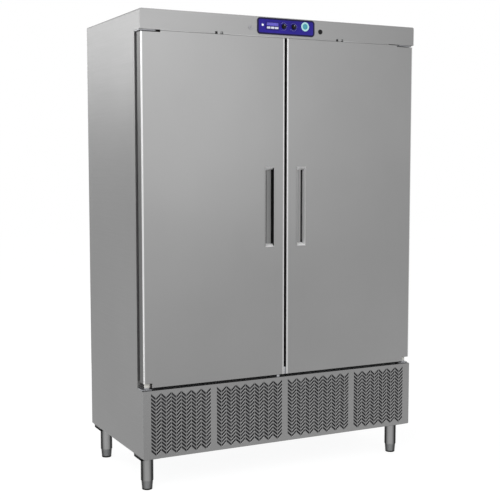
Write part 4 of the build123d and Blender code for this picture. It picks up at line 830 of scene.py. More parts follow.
@dataclass
class HerringboneGrille(SubAssembly):
    """The machine compartment's front panel, pressed with slanted slots in four fields."""

    columns: tuple[int, ...] = (12, 14, 14, 12)
    rows: int = 16
    side_margin: float = 0.036
    field_gap: float = 0.028
    row_pitch: float = 0.0162
    slant: float = math.radians(42.0)
    zigzag_run: float = 0.3
    web: float = 0.0016
    lip: float = 0.0009
    lip_depth: float = 0.0009
    reach: float = 0.0011
    sheet: float = 0.0012
    fold: float = 0.012
    corner_radius: float = 0.006
    mat_gap: float = 0.0045
    mat_thickness: float = 0.008
    mat_margin: float = 0.01
    quilt: float = 0.002
    quilt_depth: float = 0.0008
    quilt_edge: float = 0.0006

    def build(self) -> None:
        """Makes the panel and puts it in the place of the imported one."""
        self.low, self.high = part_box("grille_panel")
        width = self.high.x - self.low.x
        gaps = self.field_gap * (len(self.columns) - 1)
        self.pitch = (width - 2 * self.side_margin - gaps) / sum(self.columns)
        self.middle_z = (self.low.z + self.high.z) / 2
        left = self.low.x + self.side_margin
        fields = []
        for number, count in enumerate(self.columns):
            outer_left = self.low.x if number == 0 else left - self.field_gap / 2
            right = left + count * self.pitch
            outer_right = self.high.x if number == len(self.columns) - 1 else right + self.field_gap / 2
            fields.append(self.field(f"field_{number}", left, count, (outer_left, outer_right)))
            left = right + self.field_gap
        panel = weld(fields, "grille_herringbone")
        self.round_corners(panel)
        self.fold_back(panel)
        thicken(panel, self.sheet)
        smooth(panel, 20)
        self.finish(panel, "cabinet", GRILLE_STEEL, slot="cabinet_steel", stands_for=("grille_panel",))
        self.dust_mats()

    def dust_mats(self) -> None:
        """A black mat behind each half of the grille, quilted in rows, whose black also serves as painted
        shade seen through the slots.
        """
        y = self.low.y + self.mat_gap
        for side, sign in SIDES.items():
            near, far = sign * self.mat_margin / 2, sign * (self.high.x - self.mat_margin)
            mat = add_block(f"dust_mat_{side}", (min(near, far), y, self.low.z + self.mat_margin),
                            (max(near, far), y + self.mat_thickness, self.high.z - self.mat_margin))
            choose(mat, Element.EDGE, lambda _, line: abs(line.z) > 0.9)
            bpy.ops.mesh.subdivide(number_cuts=self.rows // 2)
            choose(mat, Element.FACE, facing_front)
            bpy.ops.mesh.inset(thickness=self.quilt, depth=self.quilt_depth, use_individual=True)
            put_down()
            soften(mat, self.quilt_edge, 1)
            self.finish(mat, "cabinet", DUST_MAT)

    def cell(self, name: str, left: float, lean: int) -> Piece:
        """One slanted cell of sheet with its slot, at the bottom row.

        Args:
            name: The piece's name.
            left: Its left edge along X.
            lean: 1 where it falls to the right, -1 where it rises.

        Returns:
            The cell.
        """
        z = self.middle_z - (self.rows - 1) / 2 * self.row_pitch
        centre = (left + self.pitch / 2, self.low.y, z)
        piece = add_sheet(name, centre, (self.pitch, self.row_pitch))
        drop = self.pitch * math.tan(self.slant) / 2
        for way in (-1, 1):
            choose(piece, Element.CORNER, lambda at, _: (at.x - centre[0]) * way > 0)
            bpy.ops.transform.translate(value=(0, 0, -way * lean * drop))
        choose(piece, Element.FACE, everything)
        bpy.ops.mesh.inset(thickness=self.web, depth=0)
        bpy.ops.mesh.inset(thickness=self.lip, depth=-self.lip_depth)
        bpy.ops.mesh.delete(type="FACE")
        half = self.pitch / 2 - 5 * TOUCH
        fall = lean * self.reach * math.tan(self.slant)
        for way in (-1, 1):
            choose(piece, Element.CORNER, lambda at, _: 0 < (at.x - centre[0]) * way < half)
            bpy.ops.transform.translate(value=(way * self.reach, 0, -way * fall))
        put_down()
        return piece

    def field(self, name: str, left: float, count: int, outer: tuple[float, float]) -> Piece:
        """One field of slots with the plain sheet round it.

        Args:
            name: The piece's name.
            left: The field's left edge along X.
            count: How many columns it has.
            outer: Where the sheet round it ends, left and right.

        Returns:
            The field.
        """
        pair = [self.cell("cell_a", left, 1), self.cell("cell_b", left + self.pitch, -1)]
        field = weld(pair, name)
        repeat(field, count // 2, (2 * self.pitch, 0, 0))
        repeat(field, self.rows, (0, 0, self.row_pitch))
        for way, limit in ((1, self.high.z), (-1, self.low.z)):
            edge_z = self.middle_z + way * self.rows / 2 * self.row_pitch
            choose(field, Element.EDGE,
                   lambda at, line: abs(at.z - edge_z) < TOUCH and abs(line.x) > self.zigzag_run)
            bpy.ops.mesh.extrude_edges_move()
            bpy.ops.transform.resize(value=(1, 1, 0), center_override=(0, 0, limit))
        right = left + count * self.pitch
        for edge_x, limit in ((left, outer[0]), (right, outer[1])):
            choose(field, Element.EDGE, lambda at, line: abs(at.x - edge_x) < TOUCH and abs(line.z) > ALONG)
            bpy.ops.mesh.extrude_edges_move()
            bpy.ops.transform.resize(value=(0, 1, 1), center_override=(limit, 0, 0))
        put_down()
        return field

    def round_corners(self, panel: Piece) -> None:
        """Rounds the panel's two lower corners."""
        half = (self.high.x - self.low.x) / 2
        middle = (self.high.x + self.low.x) / 2
        choose(panel, Element.CORNER, lambda at, _: abs(abs(at.x - middle) - half) < TOUCH
               and at.z < self.low.z + TOUCH)
        bpy.ops.mesh.bevel(offset=self.corner_radius, segments=4, affect="VERTICES")
        put_down()

    def fold_back(self, panel: Piece) -> None:
        """Folds the sheet in along its top and bottom."""
        for level in (self.low.z, self.high.z):
            choose(panel, Element.EDGE, lambda at, line: abs(at.z - level) < TOUCH and abs(line.x) > ALONG)
            pull((0, self.fold, 0), edges=True)
        put_down()


# The control panel


@dataclass
class ControlPanel(SubAssembly):
    """The printed plate on the header, its scales, knobs and lamps."""

    corner_radius: float = 0.015
    rim: float = 0.0072
    rim_steps: tuple[tuple[float, float], ...] = ((0.35, 0.0), (0.55, 0.0), (0.1, 1.0))
    rim_height: float = 0.0007
    print_height: float = 0.00015
    scale_radius: float = 0.0165
    scale_sweep: float = math.radians(270.0)
    tick_count: int = 10
    tick: tuple[float, float] = (0.0007, 0.0026)
    knob_sides: int = 48
    grip_depth: float = 0.0096
    grip_share: float = 0.78
    skirt: float = 0.003
    skirt_lap: float = 0.0014
    shaft_radius: float = 0.003
    flute_depth: float = 0.0006
    flute_spacing: int = 4
    pointer_start: float = 0.25
    pointer_width: float = 0.0016
    small_lamp_radius: float = 0.005
    small_lamp_edge: float = 0.0055
    small_lamp_drop: float = 0.004
    dome_share: float = 0.3
    lens_share: float = 0.62
    lens_depth: float = 0.004
    ring_share: float = 0.3
    ring_depth: float = 0.0012
    edge: float = 0.0003
    plate_edge: float = 0.00025
    skirt_edge: float = 0.0005
    pointer_edge: float = 0.0002
    pointer_depth: float = 0.0008
    flute_border: float = 0.00015
    cap_steps: tuple[tuple[float, float], ...] = ((0.0012, 0.0), (0.0004, 0.0004))
    ring_step: float = 0.0006

    def build(self) -> None:
        """Makes every piece of the panel."""
        self.plate()
        for name in ("knob_fridge", "knob_freezer"):
            self.knob(name)
            self.scale(name)
        self.lamps()

    def plate(self) -> None:
        """The plate with its rounded corners and raised navy rim."""
        low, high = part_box("control_panel")
        piece = add_block("control_plate", (low.x, low.y - self.rim_height, low.z), tuple(high))
        choose(piece, Element.EDGE, lambda _, line: abs(line.y) > ALONG)
        bpy.ops.mesh.bevel(offset=self.corner_radius, segments=8, affect="EDGES")
        choose(piece, Element.FACE, facing_front)
        for share, sink in self.rim_steps:
            bpy.ops.mesh.inset(thickness=self.rim * share, depth=-sink * self.rim_height)
        put_down()
        soften(piece, self.plate_edge, angle=40)
        self.coat(piece, OVERLAY_RIM, OVERLAY_BLUE)
        inner = Vector((high.x - self.rim, 0, high.z - self.rim))
        self.paint(piece, 1, lambda at, normal: normal.y < -0.9 and at.y > low.y - TOUCH
                   and abs(at.x) < inner.x and at.z < inner.z)
        self.finish(piece, "cabinet", slot="panel_plastic", stands_for=("control_panel",))

    def knob(self, node: str) -> None:
        """A fluted knob on its skirt, with a pale pointer line.

        Args:
            node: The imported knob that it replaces.
        """
        low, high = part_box(node)
        x, _, z = halfway(low, high)
        radius = (high.x - low.x) / 2
        back = low.y + self.grip_depth
        skirt = add_round("skirt", (x, back - self.skirt / 2, z), radius, self.skirt, Axis.Y,
                          self.knob_sides)
        soften(skirt, self.skirt_edge)
        grip = add_round("grip", (x, (low.y + back) / 2 - self.skirt_lap / 2, z), radius * self.grip_share,
                         back - low.y - self.skirt_lap, Axis.Y, self.knob_sides)
        turn = 360 / self.knob_sides
        choose(grip, Element.FACE, lambda at, normal: abs(normal.y) < 1 - ALONG
               and round(math.degrees(math.atan2(at.z - z, at.x - x)) / turn) % self.flute_spacing == 0)
        bpy.ops.mesh.inset(thickness=self.flute_border, depth=-self.flute_depth, use_individual=True)
        choose(grip, Element.FACE, facing_front)
        for border, sink in self.cap_steps:
            bpy.ops.mesh.inset(thickness=border, depth=-sink)
        put_down()
        soften(grip, self.edge, angle=50)
        shaft = add_round("shaft", (x, (back + high.y) / 2, z), self.shaft_radius, high.y - back, Axis.Y,
                          self.knob_sides // 2)
        knob = weld([skirt, grip, shaft], f"{node}_fluted")
        self.finish(knob, node, KNOB_ABS, slot="knob_plastic", stands_for=(node,))
        half = self.pointer_width / 2
        pointer = add_block(f"{node}_pointer", (x - half, low.y, z + radius * self.pointer_start),
                            (x + half, low.y + self.pointer_depth, z + radius * self.grip_share))
        soften(pointer, self.pointer_edge)
        self.finish(pointer, node, PRINT_PALE)

    def scale(self, node: str) -> None:
        """The printed scale round a knob, a ring of ticks.

        Args:
            node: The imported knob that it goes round.
        """
        x, _, z = halfway(*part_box(node))
        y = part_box("control_panel")[0].y - self.print_height / 2
        start = self.scale_sweep / 2
        put_down()
        at = (x + self.scale_radius * math.sin(-start), y, z + self.scale_radius * math.cos(start))
        bpy.ops.mesh.primitive_plane_add(size=1, location=at, rotation=(math.pi / 2, -start, 0))
        ticks = settle(f"{node}_scale", (*self.tick, 1))
        choose(ticks, Element.FACE, everything)
        bpy.ops.mesh.spin(steps=self.tick_count, dupli=True, angle=self.scale_sweep, center=(x, y, z),
                          axis=(0, 1, 0), use_auto_merge=False)
        modify(ticks, "SOLIDIFY", thickness=self.print_height, offset=0.0)
        self.finish(ticks, "cabinet", PRINT_PALE)

    def lamps(self) -> None:
        """Two pilot lamps: a small white one, and a large teal one in a pale ring."""
        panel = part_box("control_panel")[0].y
        low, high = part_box("pilot_lamps")
        large_radius = (high.z - low.z) / 2
        large_x, large_z = high.x - large_radius, (low.z + high.z) / 2
        ring = add_round("lamp_ring", (large_x, panel - self.ring_depth / 2, large_z), large_radius,
                         self.ring_depth, Axis.Y, 64)
        choose(ring, Element.FACE, facing_front)
        bpy.ops.mesh.inset(thickness=large_radius * self.ring_share, depth=0)
        bpy.ops.mesh.inset(thickness=self.ring_step, depth=-self.ring_step)
        put_down()
        soften(ring, self.edge, angle=40)
        self.finish(ring, "cabinet", RING_TEAL, slot="lamp_lens", stands_for=("pilot_lamps",))
        lens = self.lens("lamp_lens_large", (large_x, low.y, large_z), large_radius * self.lens_share)
        self.finish(lens, "cabinet", LENS_TEAL)
        small_x, small_z = low.x + self.small_lamp_edge, large_z - self.small_lamp_drop
        small = self.lens("lamp_lens_small", (small_x, low.y, small_z), self.small_lamp_radius)
        self.finish(small, "cabinet", LENS_WHITE)

    def lens(self, name: str, front: Point, radius: float) -> Piece:
        """A domed lens.

        Args:
            name: The piece's name.
            front: The foremost point of its dome.
            radius: Its radius.

        Returns:
            The lens.
        """
        x, y, z = front
        rise = self.lens_depth * self.dome_share
        put_down()
        bpy.ops.mesh.primitive_uv_sphere_add(segments=48, ring_count=16, radius=radius,
                                             location=(x, y + rise, z), rotation=Axis.Y.value)
        piece = settle(name)
        choose(piece, Element.FACE, everything)
        bpy.ops.transform.resize(value=(1, rise / radius, 1), center_override=(x, y + rise, z))
        choose(piece, Element.FACE, lambda at, _: at.y > y + rise)
        bpy.ops.mesh.delete(type="FACE")
        choose(piece, Element.EDGE, lambda at, _: at.y > y + rise - mm(0.01))
        pull((0, self.lens_depth - rise, 0), edges=True)
        bpy.ops.mesh.edge_face_add()
        weld([piece], name)
        smooth(piece, 50)
        return piece


# Locks and door sensors


@dataclass
class Locks(SubAssembly):
    """The key locks' fixed barrels: black on the freezer's side, bare nickel on the other."""

    collar_depth: float = 0.0016
    barrel_inset: float = 0.0015
    bore_radius: float = 0.00706
    edge: float = 0.00035

    def build(self) -> None:
        """Makes a barrel with its collar for each door."""
        low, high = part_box("lock_barrels")
        radius = (high.z - low.z) / 2
        z = (low.z + high.z) / 2
        for side, sign in SIDES.items():
            x = sign * (high.x - radius)
            collar_y = low.y + self.collar_depth / 2
            collar = add_tube("collar", (x, collar_y, z), radius, self.bore_radius, self.collar_depth,
                              Axis.Y)
            soften(collar, self.edge, 3, 50)
            start = low.y + self.collar_depth
            barrel = add_tube("barrel", (x, (start + high.y) / 2, z), radius - self.barrel_inset,
                              self.bore_radius, high.y - start, Axis.Y)
            lock = weld([collar, barrel], f"lock_barrel_{side}")
            smooth(lock)
            finish = LOCK_BLACK if side == "right" else LOCK_METAL
            replaced = ("lock_barrels",) if side == "left" else ()
            self.finish(lock, "cabinet", finish, slot="lock_metal" if replaced else None,
                        stands_for=replaced)


@dataclass
class DoorSensors(SubAssembly):
    """The door sensors under the header: a dark magnet nose and a paler switch nose on each."""

    nose_radius: float = 0.0049
    nose_length: float = 0.006
    nose_edge: float = 0.0012
    nose_pitch: float = 0.026
    body_width: float = 0.042
    body_rise: float = 0.0027
    body_setback: float = 0.0006
    body_edge: float = 0.001
    painted_depth: float = 0.005

    def build(self) -> None:
        """Makes both sensors as one piece."""
        low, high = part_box("door_sensors")
        half = self.body_width / 2
        middles = (low.x + half, high.x - half)
        parts = []
        for middle in middles:
            block = add_block("body", (middle - half, low.y + self.body_setback, low.z + self.body_rise),
                              (middle + half, high.y, high.z))
            soften(block, self.body_edge)
            parts.append(block)
            for way in (-1, 1):
                place = (middle + way * self.nose_pitch / 2, low.y + self.nose_length / 2,
                         low.z + self.nose_radius)
                nose = add_round("nose", place, self.nose_radius, self.nose_length, Axis.Y, 24)
                soften(nose, self.nose_edge, 3, 50)
                parts.append(nose)
        sensors = weld(parts, "door_sensor_noses")
        self.coat(sensors, BLACK_ABS, FOOT_PLASTIC)
        self.paint(sensors, 1, lambda at, _: at.y < low.y + self.painted_depth and any(
            0 < at.x - middle < half for middle in middles))
        self.finish(sensors, "cabinet", slot="black_plastic", stands_for=("door_sensors",))


@dataclass
class HeaderLip(SubAssembly):
    """The folded edge in the seam over the doors, broken at the hinges and the door sensors."""

    thickness: float = 0.0012
    drop: float = 0.0018
    setback: float = 0.0004
    edge: float = 0.0003
    spans: tuple[tuple[float, float], ...] = (
        (-0.6, -0.349), (-0.3355, -0.3225), (-0.309, 0.26), (0.2735, 0.2865), (0.3, 0.551),
    )

    def build(self) -> None:
        """Makes the lip's stretches as one piece."""
        low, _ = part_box("header_fascia")
        front = low.y + self.setback
        parts = []
        for start, end in self.spans:
            part = add_block("lip", (start, front, low.z - self.drop), (end, front + self.thickness, low.z))
            soften(part, self.edge)
            parts.append(part)
        lip = weld(parts, "header_lip")
        smooth(lip)
        # The lip's lighter steel is painted light in the seam's shade.
        self.finish(lip, "cabinet", FOLD_STEEL_PAINTED_LIGHT)


@dataclass
class DoorRests(SubAssembly):
    """Steel stops at the foot of the doors' meeting edge: a strip between them and a block under one."""

    strip_width: float = 0.0106
    strip_height: float = 0.033
    setback: float = 0.003
    block_middle: float = -0.034
    block_width: float = 0.014
    block_depth: float = 0.03
    clearance: float = 0.0006
    edge: float = 0.001

    def build(self) -> None:
        """Makes the strip and the block as one piece on the cabinet."""
        low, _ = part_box("door_skin_left")
        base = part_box("grille_panel")[1].z
        front = low.y + self.setback
        strip = add_block("strip", (-self.strip_width / 2, front, low.z),
                          (self.strip_width / 2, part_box("front_frame")[0].y, low.z + self.strip_height))
        soften(strip, self.edge)
        left = self.block_middle - self.block_width / 2
        block = add_block("block", (left, front, base),
                          (left + self.block_width, front + self.block_depth, low.z - self.clearance))
        soften(block, self.edge)
        rests = weld([strip, block], "door_rests")
        smooth(rests)
        self.finish(rests, "cabinet", HINGE_STEEL)


# Door handles


@dataclass
class RecessedHandles(SubAssembly):
    """The doors' handle pockets: a creased pad between two grooves painted black as shade, sloped ends with
    a painted highlight, a hinge-side wall paled by painted light, and a thin bead.
    """

    wall: float = 0.002
    undercut: float = 0.007
    end_slope: float = 0.011
    pad_depth: float = 0.021
    pad_fall: float = 0.007
    pad_dip: float = 0.0015
    crease: float = 0.014
    grip_strip: float = 0.0015
    groove_width: float = 0.0155
    groove_depth: float = 0.009
    bead: tuple[tuple[float, float], ...] = ((0.0004, -0.0003), (0.0005, 0.0), (0.0003, 0.0003))
    sheet: float = 0.0012
    painted_shade_from: float = 0.006
    reach: float = 0.001

    def build(self) -> None:
        """Makes the pocket of each door."""
        for side, sign in SIDES.items():
            self.pocket(side, sign)

    def pocket(self, side: str, sign: int) -> None:
        """One pocket, from a sheet over its mouth that is pressed in.

        Args:
            side: Left or right door.
            sign: Which way the door lies along X.
        """
        low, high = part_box(f"door_handle_{side}")
        near, far = sorted((abs(low.x), abs(high.x)))
        lip, hinge_edge = near + self.wall + self.undercut, far - self.wall
        floor = low.y + self.pad_depth
        centre = Vector((sign * (lip + hinge_edge) / 2, low.y, (low.z + high.z) / 2))
        height = high.z - low.z - 2 * self.wall
        pan = add_sheet(f"door_handle_{side}_pocket", centre, (hinge_edge - lip, height))
        choose(pan, Element.FACE, everything)
        pull((0, floor - low.y, 0))
        bpy.ops.transform.resize(value=(1, 1, 1 - 2 * self.end_slope / height), center_override=centre)
        choose(pan, Element.CORNER,
               lambda at, _: at.y > floor - self.reach and abs(at.x) < lip + self.reach)
        bpy.ops.transform.translate(value=(-sign * self.undercut, 0, 0))
        choose(pan, Element.FACE, lambda at, _: at.y < low.y + TOUCH)
        bpy.ops.mesh.delete(type="ONLY_FACE")
        groove, crease, strip = hinge_edge - self.groove_width, lip + self.crease, lip + self.grip_strip
        for place in (strip, crease, groove):
            choose(pan, Element.FACE, lambda _, normal: abs(normal.y) > ALONG)
            bpy.ops.mesh.bisect(plane_co=(sign * place, 0, 0), plane_no=(1, 0, 0))
        choose(pan, Element.FACE, lambda at, normal: abs(normal.y) > ALONG and abs(at.x) > groove)
        pull((0, self.groove_depth, 0))
        for place, fall in ((crease, self.pad_fall), (strip, self.pad_dip)):
            limit = place + self.reach / 2
            choose(pan, Element.CORNER, lambda at, _: at.y > floor - self.reach and abs(at.x) < limit)
            bpy.ops.transform.translate(value=(0, fall, 0))
        self.add_bead(pan, centre, (hinge_edge - lip) / 2, height / 2)
        self.coat(pan, HANDLE_ABS, BLACK_ABS, HANDLE_PAINTED_HIGHLIGHT, HANDLE_PAINTED_LIGHT)
        # Painted shade: the groove by the hinge edge and the wall under the lip are painted black.
        self.paint(pan, 1, lambda at, normal: at.y > low.y + self.painted_shade_from and (
            groove - TOUCH < abs(at.x) < hinge_edge - self.reach and at.y > floor
            or abs(at.x) < strip and abs(normal.z) < 0.5))
        # Painted highlight on the sloped ends, then painted light on the hinge-side wall.
        inside = low.y + 2 * self.reach
        self.paint(pan, 2, lambda at, normal: inside < at.y < floor and abs(normal.z) > 0.5)
        self.paint(pan, 3, lambda at, normal: at.y > inside and abs(at.x) > hinge_edge - self.reach
                   and abs(normal.x) > 0.9)
        weld([pan], pan.name)
        thicken(pan, self.sheet, 1.0)
        smooth(pan, 50)
        self.finish(pan, f"door_{side}", slot="handle_plastic", stands_for=(f"door_handle_{side}",))

    def add_bead(self, pan: Piece, centre: Vector, half_width: float, half_height: float) -> None:
        """Rolls the mouth's edge outwards over the door's sheet.

        Args:
            pan: The pocket.
            centre: The middle of its mouth.
            half_width: Half the mouth's width.
            half_height: Half its height.
        """
        mouth = centre.y + TOUCH
        choose(pan, Element.EDGE, lambda at, _: at.y < mouth)
        for out, lift in self.bead:
            pull((0, lift, 0), edges=True)
            wider, taller = (half_width + out) / half_width, (half_height + out) / half_height
            bpy.ops.transform.resize(value=(wider, 1, taller), center_override=centre)
            half_width, half_height = half_width + out, half_height + out
        put_down()


# Legs and feet


@dataclass
class Feet(SubAssembly):
    """The screw-in feet under the legs."""

    sole_height: float = 0.007
    body_height: float = 0.042
    stem_radius: float = 0.012
    taper: float = 0.865
    rings: int = 5
    edge: float = 0.0012
    stem_edge: float = 0.0008

    def build(self) -> None:
        """Makes one foot for each leg."""
        for place in FEET:
            self.foot(f"foot_{place}")

    def foot(self, node: str) -> None:
        """One foot: tapered body with a black sole, and its stem.

        Args:
            node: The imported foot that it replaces, also its body's name.
        """
        low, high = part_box(node)
        x, y, _ = halfway(low, high)
        radius = (high.x - low.x) / 2
        body = add_round("body", (x, y, low.z + self.body_height / 2), radius, self.body_height, Axis.Z)
        choose(body, Element.FACE, lambda _, normal: normal.z < -ALONG)
        bpy.ops.transform.resize(value=(self.taper, self.taper, 1), center_override=(x, y, 0))
        choose(body, Element.EDGE, lambda _, line: abs(line.z) > 0.9)
        bpy.ops.mesh.subdivide(number_cuts=self.rings)
        put_down()
        soften(body, self.edge, 3, 60)
        stem = add_round("stem", (x, y, (low.z + self.body_height + high.z) / 2), self.stem_radius,
                         high.z - low.z - self.body_height, Axis.Z, 32)
        soften(stem, self.stem_edge, 1, 60)
        foot = weld([body, stem], f"{node}_turned")
        self.coat(foot, FOOT_PLASTIC, SOLE_RUBBER, LEG_STEEL)
        self.paint(foot, 1, lambda at, _: at.z < low.z + self.sole_height)
        self.paint(foot, 2, lambda at, _: at.z > low.z + self.body_height + 3 * TOUCH)
        smooth(foot)
        self.finish(foot, node, slot="foot_plastic", stands_for=(node,))


@dataclass
class LegPads(SubAssembly):
    """Pads under the legs' fixing plates, coloured black like the feet's soles, each with a hole for its
    leg.
    """

    width: float = 0.088
    thickness: float = 0.011
    hole_radius: float = 0.0283
    plate: float = 0.003
    edge: float = 0.0008

    def build(self) -> None:
        """Makes one pad and copies it to the other legs."""
        _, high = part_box("legs")
        middles = {}
        for place in FEET:
            low_corner, high_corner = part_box(f"foot_{place}")
            middles[place] = (low_corner + high_corner) / 2
        first = middles[FEET[0]]
        top = high.z - self.plate
        half = self.width / 2
        pad = add_block(f"leg_pad_{FEET[0]}", (first.x - half, first.y - half, top - self.thickness),
                        (first.x + half, first.y + half, top))
        cutter = add_round("cutter", (first.x, first.y, top), self.hole_radius, 4 * self.thickness, Axis.Z)
        modify(pad, "BOOLEAN", object=cutter, operation="DIFFERENCE")
        take(cutter)
        bpy.ops.object.delete()
        soften(pad, self.edge, angle=60)
        for place in FEET[1:]:
            shift = middles[place] - first
            self.finish(copy_to(pad, f"leg_pad_{place}", (shift.x, shift.y, 0)), "cabinet", SOLE_RUBBER)
        self.finish(pad, "cabinet", SOLE_RUBBER)


# Rear cover's strips and screws


@dataclass
class CoverStrips(SubAssembly):
    """Folded strips that close the slots between the rear cover and the side panels."""

    sheet: float = 0.0012
    clearance: float = 0.0001
    fold: float = 0.012

    def build(self) -> None:
        """Makes one strip for each side, folded back along its side panel."""
        low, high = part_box("rear_cover")
        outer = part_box("side_panel_right")[1].x - self.sheet - self.clearance
        for side, sign in SIDES.items():
            centre = (sign * (high.x + outer) / 2, low.y, (low.z + high.z) / 2)
            strip = add_sheet(f"cover_strip_{side}", centre, (outer - high.x, high.z - low.z))
            choose(strip, Element.EDGE, lambda at, line: abs(at.x) > outer - TOUCH and abs(line.z) > ALONG)
            pull((0, self.fold, 0), edges=True)
            put_down()
            thicken(strip, self.sheet)
            smooth(strip, 30)
            self.finish(strip, "cabinet", ZINC_SHEET)


@dataclass
class CoverScrews(SubAssembly):
    """Pan-head screws round the rear cover."""

    head_radius: float = 0.0045
    head_height: float = 0.0022
    recess: float = 0.0014
    cup: tuple[float, float] = (0.55, 0.1)
    edge: float = 0.0006
    inset: float = 0.012
    columns: int = 6

    def build(self) -> None:
        """Makes one screw and copies it along the cover's two long edges."""
        low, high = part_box("rear_cover")
        first = low.x + self.inset
        step = (high.x - low.x - 2 * self.inset) / (self.columns - 1)
        for row, z in (("low", low.z + self.inset), ("high", high.z - self.inset)):
            screw = self.screw(f"rear_screw_{row}_0", (first, high.y, z))
            for column in range(1, self.columns):
                twin = copy_to(screw, f"rear_screw_{row}_{column}", (column * step, 0, 0))
                self.finish(twin, "cabinet", ZINC_SHEET)
            self.finish(screw, "cabinet", ZINC_SHEET)

    def screw(self, name: str, foot: Point) -> Piece:
        """A screw's head with its round recess.

        Args:
            name: The piece's name.
            foot: The middle of the face that it is driven into.

        Returns:
            The screw.
        """
        x, y, z = foot
        head = add_round(name, (x, y + self.head_height / 2, z), self.head_radius, self.head_height, Axis.Y,
                         16)
        choose(head, Element.FACE, lambda _, normal: normal.y > ALONG)
        for share, sink in zip(self.cup, (0.0, self.recess)):
            bpy.ops.mesh.inset(thickness=self.head_radius * share, depth=-sink)
        put_down()
        soften(head, self.edge, angle=50)
        return head


# Inside the compartments


@dataclass
class Shelves(SubAssembly):
    """Wire shelves of coated rods."""

    count: int = 3
    pitch: float = 0.3
    frame_radius: float = 0.0035
    rod_radius: float = 0.002
    rods: int = 17
    height: float = 0.007

    def build(self) -> None:
        """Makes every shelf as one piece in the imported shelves' place."""
        low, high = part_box("wire_shelves")
        inner = self.inner_edge()
        rods = []
        for side, sign in SIDES.items():
            left, right = sorted((sign * inner, sign * high.x))
            rods += self.shelf(side, (left, low.y, low.z), (right, high.y, low.z + self.height))
        shelf = weld(rods, "wire_shelves_rods")
        twins = [copy_to(shelf, f"level_{level}", (0, 0, level * self.pitch))
                 for level in range(1, self.count)]
        shelf = weld([shelf, *twins], "wire_shelves_rods")
        smooth(shelf, 50)
        self.finish(shelf, "cabinet", COATED_WIRE, slot="shelf_wire", stands_for=("wire_shelves",))

    def inner_edge(self) -> float:
        """Where a shelf ends beside the middle wall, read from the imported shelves."""
        node = bpy.data.objects["wire_shelves"]
        return min(abs(corner.co.x) for corner in node.data.vertices)

    def shelf(self, side: str, low: Point, high: Point) -> list[Piece]:
        """The rods of one shelf.

        Args:
            side: Left or right compartment.
            low: Lowest corner.
            high: Highest corner.

        Returns:
            The rods.
        """
        r, thin = self.frame_radius, self.rod_radius
        z = high[2] - r
        middle_x, middle_y, _ = halfway(low, high)
        width, depth = high[0] - low[0], high[1] - low[1]
        frame = [
            add_round(f"{side}_front", (middle_x, low[1] + r, z), r, width, Axis.X, 12),
            add_round(f"{side}_back", (middle_x, high[1] - r, z), r, width, Axis.X, 12),
            add_round(f"{side}_near", (low[0] + r, middle_y, z), r, depth - 2 * r, Axis.Y, 12),
            add_round(f"{side}_far", (high[0] - r, middle_y, z), r, depth - 2 * r, Axis.Y, 12),
            add_round(f"{side}_cross", (middle_x, middle_y, low[2] + r), r, width - 2 * r, Axis.X, 12),
        ]
        step = (width - 2 * r) / (self.rods + 1)
        rod = add_round(f"{side}_rods", (low[0] + r + step, middle_y, high[2] - thin), thin, depth - r,
                        Axis.Y, 8)
        repeat(rod, self.rods, (step, 0, 0))
        return frame + [rod]


@dataclass
class Gaskets(SubAssembly):
    """The doors' magnetic gaskets, with their bellows."""

    head_width: float = 0.016
    neck_width: float = 0.008
    profile: tuple[tuple[float, float], ...] = (
        (0.28, 0.0), (0.08, 1.0), (0.14, -0.7), (0.14, 0.7), (0.12, -0.5), (0.24, 0.0),
    )
    edge: float = 0.0004

    def build(self) -> None:
        """Makes the gasket of each door."""
        for side in SIDES:
            self.gasket(side)

    def gasket(self, side: str) -> None:
        """One gasket: foot, two bellows folds and the magnet's head.

        Args:
            side: Left or right door.
        """
        low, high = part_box(f"door_gasket_{side}")
        depth = high.y - low.y
        put_down()
        x, _, z = halfway(low, high)
        bpy.ops.mesh.primitive_plane_add(size=1, location=(x, high.y, z), rotation=(-math.pi / 2, 0, 0))
        ring = settle(f"door_gasket_{side}_bellows", (high.x - low.x, high.z - low.z, 1))
        choose(ring, Element.FACE, everything)
        bpy.ops.mesh.inset(thickness=self.head_width, depth=0)
        bpy.ops.mesh.delete(type="FACE")
        swell = (self.head_width - self.neck_width) / 2
        for share, way in self.profile:
            foremost = self.front(ring) + mm(0.01)
            choose(ring, Element.FACE, lambda at, normal: abs(normal.y) > 0.9 and at.y < foremost)
            pull((0, -share * depth, 0))
            if way:
                bpy.ops.mesh.inset(thickness=abs(way * swell), depth=0, use_outset=way < 0,
                                   use_boundary=True)
        put_down()
        weld([ring], ring.name)
        soften(ring, self.edge, 1)
        self.finish(ring, f"door_{side}", GASKET_PVC, slot="gasket_rubber",
                    stands_for=(f"door_gasket_{side}",))

    def front(self, ring: Piece) -> float:
        """The lowest Y that the ring has reached so far."""
        mesh = bmesh.from_edit_mesh(ring.data)
        return min(corner.co.y for corner in mesh.verts)


# Camera, light and floor


